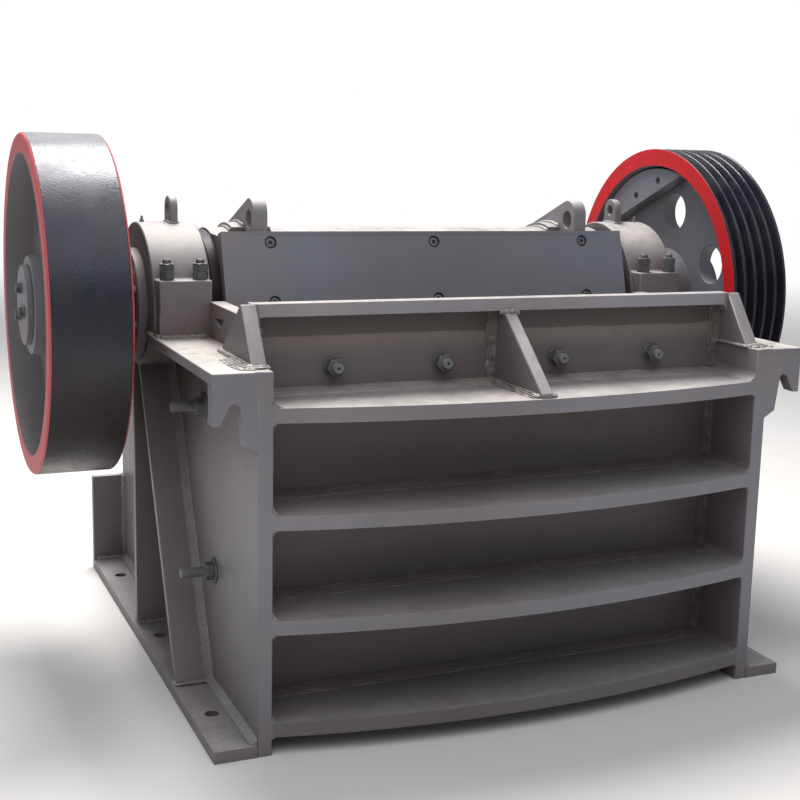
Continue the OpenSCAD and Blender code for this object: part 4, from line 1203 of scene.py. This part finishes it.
def makeCapStuds():
    # two nuts on each stud, a little turned against each other, and the stud's end above them
    s = capStuds
    mid = (lowOf("bearing_cap_right").x + highOf("bearing_cap_right").x) / 2
    parts = []
    for side in (-1, 1):
        for dx in (-s["span"], s["span"]):
            for dy in (-s["reach"], s["reach"]):
                at = (side * mid + dx, shaftAt[1] + dy, s["lugTop"])
                spin = rng.uniform(0, 0.3)
                for k in (0, 1):
                    nut = hexNut(s["nutFlat"], s["nutHeight"])
                    seat = (at[0], at[1], at[2] + k * s["nutHeight"])
                    parts.append(placed(nut, upward, seat, spin + k * s["slip"]))
                end = 2 * s["nutHeight"] + s["above"] - 0.002
                stud = thread(s["studR"], 0.0, end, s["pitch"], s["threadDepth"])
                parts.append(placed(stud, upward, at))
    arrayPiece("cap_stud_nuts", parts, "frame", dirtyBolt)


makeCapStuds()


def nutOnWasher(look, way, at):
    # an eased washer against the plate, and a nut on it, turned by chance
    washer = chamferedDisc(look["washerR"], 0, look["washer"], look["washerEase"])
    seat = np.array(at) + look["washer"] * np.array(way)
    nut = hexNut(look["nutFlat"], look["nutHeight"])
    return [placed(washer, way, at), placed(nut, way, seat, rng.uniform(0, 1))]


jawBolts = {"x": (-0.455, -0.165, 0.165, 0.455), "z": 0.893, "washerR": 0.0248, "washer": 0.006,
            "washerEase": 0.0012, "nutFlat": 0.0415, "nutHeight": 0.022, "studR": 0.0135,
            "stud": 0.016, "pitch": 0.003, "threadDepth": 0.0008, "holeR": 0.0034,
            "holeDepth": 0.012, "headR": 0.027, "head": 0.018, "headEase": 0.002}


def makeJawBolts():
    # washer, nut and drilled stud end on the front wall, and a round head in the chamber
    b = jawBolts
    y = plant["wallY"]
    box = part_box("jaw_bolts")
    parts, ends, wide = [], [], []
    for x in b["x"]:
        parts += nutOnWasher(b, forward, (x, y, b["z"]))
        at = (x, y - b["washer"] - b["nutHeight"], b["z"])
        stud = thread(b["studR"], -0.002, b["stud"], b["pitch"], b["threadDepth"], 28, 0.12)
        ends.append(placed(drilled(stud, b["stud"], b["holeR"], b["holeDepth"]), forward, at))
        head = turned([(b["headR"], -b["head"]), (b["headR"], -b["headEase"]),
                       (b["headR"] - b["headEase"], 0.0)], 40)
        wide.append(placed(head, rearward, (x, box[1].y - 0.0002, b["z"])))
    arrayPiece("jaw_bolt_nuts", parts, "frame", dirtyBolt)
    arrayPiece("jaw_bolt_ends", ends, "frame", paleBolt)
    arrayPiece("jaw_bolt_heads", wide, "frame", finishes["wear_steel"])


makeJawBolts()

cheekBolts = {"yz": ((-0.312, 0.756), (-0.406, 0.343)), "washerR": 0.033, "washer": 0.006,
              "washerEase": 0.0015, "nutFlat": 0.0415, "nutHeight": 0.022, "studR": 0.0135,
              "stud": 0.089, "pitch": 0.003, "threadDepth": 0.0014, "bareThread": 0.020,
              "headR": 0.027, "head": 0.018, "headEase": 0.0015, "headSunk": 0.0396}


def makeCheekBolts():
    # washer, nut, thread and plain shank outside each side plate, and a round head in the cheek plate
    b = cheekBolts
    parts, shanks = [], []
    for side in (-1, 1):
        for y, z in b["yz"]:
            way, x = outward(side), side * plant["outX"]
            parts += nutOnWasher(b, way, (x, y, z))
            mid = b["washer"] + b["nutHeight"] + b["bareThread"]
            stud = thread(b["studR"], 0.004, mid, b["pitch"], b["threadDepth"], 24, 0.1)
            parts.append(placed(stud, way, (x, y, z)))
            shank = turned([(b["studR"] * 0.9, mid - 0.003), (b["studR"] * 0.97, mid),
                            (b["studR"] * 0.97, b["stud"] - 0.0025), (b["studR"] * 0.8, b["stud"]),
                            (0.004, b["stud"] + 0.0005)], 28)
            shanks.append(placed(shank, way, (x, y, z)))
            head = turned([(b["headR"] - b["headEase"], 0.0), (b["headR"], b["headEase"]),
                           (b["headR"], b["head"])], 40)
            parts.append(placed(head, way, (side * (plant["inX"] - b["headSunk"]), y, z)))
    arrayPiece("cheek_bolt_studs", parts, "frame", dirtyBolt)
    arrayPiece("cheek_bolt_shanks", shanks, "frame", finishes["bolt_steel"])


makeCheekBolts()

coverScrews = {"x": (-0.480, 0, 0.480), "rows": (0.116, -0.046), "tilt": 16.0, "barrelR": 0.205,
               "cover": 0.032, "headR": 0.0118, "ringR": 0.0150, "socketFlat": 0.0112, "depth": 0.010,
               "sunk": 0.002}


def makeCoverScrews():
    # socket heads: a round rim, and a six-sided hole whose wall radius follows the angle, with a
    # dark ring of shadow and oil round each
    c = coverScrews
    tilt = math.radians(c["tilt"])
    out = np.array((0, -math.cos(tilt), math.sin(tilt)))
    up = np.array((0, math.sin(tilt), math.cos(tilt)))
    face = c["barrelR"] + c["cover"] - c["sunk"]
    a = allRound(48)
    socket = hexReach(a, c["socketFlat"])
    head = ringStack([(c["headR"], -0.0135), (c["headR"], -0.0012), (c["headR"] - 0.0014, 0.0),
                      (socket + 0.0007, 0.0), (socket, -0.0008), (socket, -c["depth"]),
                      (socket * 0.1, -c["depth"])], a)
    collar = turned([(c["headR"] - 0.001, -0.013), (c["ringR"], -0.013), (c["ringR"], -0.0034),
                     (c["headR"] - 0.001, -0.0034)], 40)
    floorR = c["headR"] * 0.9
    floor = turned([(0.0005, -0.0102), (floorR, -0.0102), (floorR, -0.0086), (0.0005, -0.0086)], 24)
    parts, collars = [], []
    for x in c["x"]:
        for row in c["rows"]:
            at = shaftAt + (x, 0, 0) + out * face + up * row
            parts.append(placed(head, out, at, rng.uniform(0, 1)))
            collars += [placed(collar, out, at), placed(floor, out, at)]
    arrayPiece("cover_screw_heads", parts, "pitman", finishes["bolt_steel"])
    arrayPiece("cover_screw_rings", collars, "pitman", screwBlack)


makeCoverScrews()


def aboutShaft(x, radius, angle):
    # a place on a circle about the shaft, at an angle above +Y
    return (x, shaftAt[1] + radius * math.cos(angle), shaftAt[2] + radius * math.sin(angle))


discLook = {"radius": 0.1055, "thick": 0.016, "ease": 0.002, "ring": 0.045, "flat": 0.026,
            "head": 0.015, "washerR": 0.0165, "washer": 0.003, "angles": (78, 198, -42),
            "centreR": 0.009}


def makeEndDisc(name, x, side):
    # chamfered disc with a centre drilling, and three bolts on one circle
    d = discLook
    disc = turned([(d["radius"] - d["ease"], 0), (d["radius"], d["ease"]),
                   (d["radius"], d["thick"] - d["ease"]), (d["radius"] - d["ease"], d["thick"]),
                   (d["centreR"], d["thick"]), (d["centreR"] * 0.5, d["thick"] - 0.005),
                   (0.0005, d["thick"] - 0.006)], 72)
    way = outward(side)
    plate = placed(disc, way, (x, shaftAt[1], shaftAt[2]))
    arrayPiece(name + "_plate", [plate], "rotor", wheelGrey)
    bolts = []
    for angle in d["angles"]:
        at = aboutShaft(x + side * d["thick"], d["ring"], math.radians(angle))
        bolts.append(placed(chamferedDisc(d["washerR"], 0, d["washer"], 0.0006), way, at))
        bolts.append(placed(hexNut(d["flat"], d["head"], both=False), way, at, rng.uniform(0, 1)))
    arrayPiece(name + "_bolts", bolts, "rotor", darkBolt)


makeEndDisc("flywheel_disc", highOf("flywheel_disc").x, -1)
makeEndDisc("pulley_disc", lowOf("pulley_disc").x, 1)

weightBolts = {"chord": 0.325, "pitch": 0.132, "radius": 0.0110, "head": 0.012, "ease": 0.001,
               "sunk": 0.004, "socket": 0.010, "depth": 0.007}


def makeWeightBolts(node, x, side, angle):
    # socket screws sunk in the three holes of a counterweight, turned with it about the shaft
    w = weightBolts
    turn = math.radians(angle)
    a = allRound(36)
    socket = hexReach(a, w["socket"])
    head = ringStack([(w["radius"], -w["head"]), (w["radius"], -w["ease"]),
                      (w["radius"] - w["ease"], 0.0), (socket, 0.0), (socket, -w["depth"]),
                      (socket * 0.1, -w["depth"])], a)
    parts = []
    for k in (-1, 0, 1):
        across = k * w["pitch"] * math.cos(turn) - w["chord"] * math.sin(turn)
        along = k * w["pitch"] * math.sin(turn) + w["chord"] * math.cos(turn)
        at = (x - side * w["sunk"], shaftAt[1] + along, shaftAt[2] - across)
        parts.append(placed(head, outward(side), at))
    arrayPiece(node + "_screws", parts, "rotor", darkBolt)


makeWeightBolts("pulley_counterweight", lowOf("pulley_counterweight").x, -1, 67)
makeWeightBolts("flywheel_counterweight", highOf("flywheel_counterweight").x, 1, 113)

ringBolts = {"count": 8, "radius": 0.124, "flat": 0.019, "head": 0.0085}


def makeRingBolts():
    # hexagon heads round each bearing's outer ring
    r = ringBolts
    x = highOf("bearing_covers").x
    parts = []
    for side in (-1, 1):
        for k in range(r["count"]):
            at = aboutShaft(side * x, r["radius"], (k + 0.5) * 2 * math.pi / r["count"])
            head = hexNut(r["flat"], r["head"], both=False)
            parts.append(placed(head, outward(side), at, rng.uniform(0, 1)))
    arrayPiece("bearing_ring_bolts", parts, "frame", finishes["bolt_steel"])


makeRingBolts()

nipple = {
    "x": 0.784,
    "radius": 0.2205,
    "flat": 0.011,
    "height": 0.007,
    "tip": ((0.0042, 0.006), (0.0042, 0.009), (0.0028, 0.011), (0.0028, 0.0125), (0.0040, 0.0145),
            (0.0036, 0.0165), (0.0015, 0.0178)),  # radius and height pairs
}


def makeGreaseNipples():
    # hexagon, neck and ball tip on top of each bearing cap
    parts = []
    for side in (-1, 1):
        at = (side * nipple["x"], shaftAt[1], shaftAt[2] + nipple["radius"] - 0.001)
        parts.append(placed(hexNut(nipple["flat"], nipple["height"]), upward, at))
        parts.append(placed(turned(nipple["tip"], 16), upward, at))
    arrayPiece("grease_nipples", parts, "frame", finishes["bolt_steel"])


makeGreaseNipples()
print("fasteners made")

# Tension rod and spring

springLook = {"wire": 0.009, "coil": 0.044, "turns": 6, "round": 14, "perTurn": 28,
              "flatEnd": 0.06}  # share of the wire that lies flat at each end


def makeSpring():
    # wire round a helix: centre c = (R cos t, y0 + p t, R sin t), skin c + r (cos q e + sin q y),
    # with both end turns laid flat
    s = springLook
    low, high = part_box("tension_spring")
    mid = (low + high) / 2
    t = np.linspace(0, 2 * np.pi * s["turns"], s["turns"] * s["perTurn"])[:, None]
    q = allRound(s["round"])[None, :]
    share = (t - t[0]) / (t[-1] - t[0])
    rise = np.clip((share - s["flatEnd"]) / (1 - 2 * s["flatEnd"]), 0, 1)
    y = low.y + s["wire"] + (high.y - low.y - 2 * s["wire"]) * rise
    reach = s["coil"] + s["wire"] * np.cos(q)
    points = np.stack([mid.x + reach * np.cos(t), y + s["wire"] * np.sin(q),
                       mid.z + reach * np.sin(t)], axis=-1)
    piece = arrayPiece("spring_coil", [tube(points)], "pitman", finishes["dark_steel"])
    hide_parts("tension_spring")


makeSpring()

rodLook = {"radius": 0.018, "eyeR": 0.036, "eyeHalf": 0.028, "pinR": 0.015, "pinHalf": 0.060,
           "plateR": 0.060, "plate": 0.012, "nutFlat": 0.0535, "nutHeight": 0.028, "ease": 0.002,
           "plateEase": 0.0015, "pitch": 0.004, "threadDepth": 0.002}


def makeRod():
    # an eye on its pin, a plain rod with a threaded end, the spring's two plates and two nuts
    r = rodLook
    low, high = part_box("tension_rod")
    z = (low.z + high.z) / 2
    pinY = low.y + r["eyeR"]
    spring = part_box("tension_spring")
    parts = []
    thread0 = spring[1].y - 0.02
    plain = turned([(r["radius"], 0), (r["radius"], thread0 - pinY)], 32)
    parts.append(placed(plain, rearward, (0, pinY, z)))
    long = high.y - pinY
    cut = thread(r["radius"], thread0 - pinY, long - 0.0005, r["pitch"], r["threadDepth"], 28, 0.3)
    parts.append(placed(cut, rearward, (0, pinY, z)))
    for radius, half in ((r["eyeR"], r["eyeHalf"]), (r["pinR"], r["pinHalf"])):
        parts.append(placed(chamferedDisc(radius, -half, half, r["ease"]), (1, 0, 0), (0, pinY, z)))
    for y in (spring[0].y - r["plate"], spring[1].y):
        plate = chamferedDisc(r["plateR"], 0, r["plate"], r["plateEase"])
        parts.append(placed(plate, rearward, (0, y, z)))
    for k in (0, 1):
        at = (0, spring[1].y + r["plate"] + k * r["nutHeight"], z)
        parts.append(placed(hexNut(r["nutFlat"], r["nutHeight"]), rearward, at, 0.2 + 0.4 * k))
    piece = arrayPiece("rod_with_nuts", parts, "pitman", finishes["dark_steel"])
    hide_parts("tension_rod")


makeRod()
print("tension rod and spring made")

replaced = {
    "cap_stud_nuts": "cap_studs", "jaw_bolt_nuts": "jaw_bolts", "cheek_bolt_studs": "cheek_bolts",
    "cover_screw_heads": "cover_screws", "flywheel_disc_plate": "flywheel_disc",
    "pulley_disc_plate": "pulley_disc",
}
for piece, node in replaced.items():
    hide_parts(node)
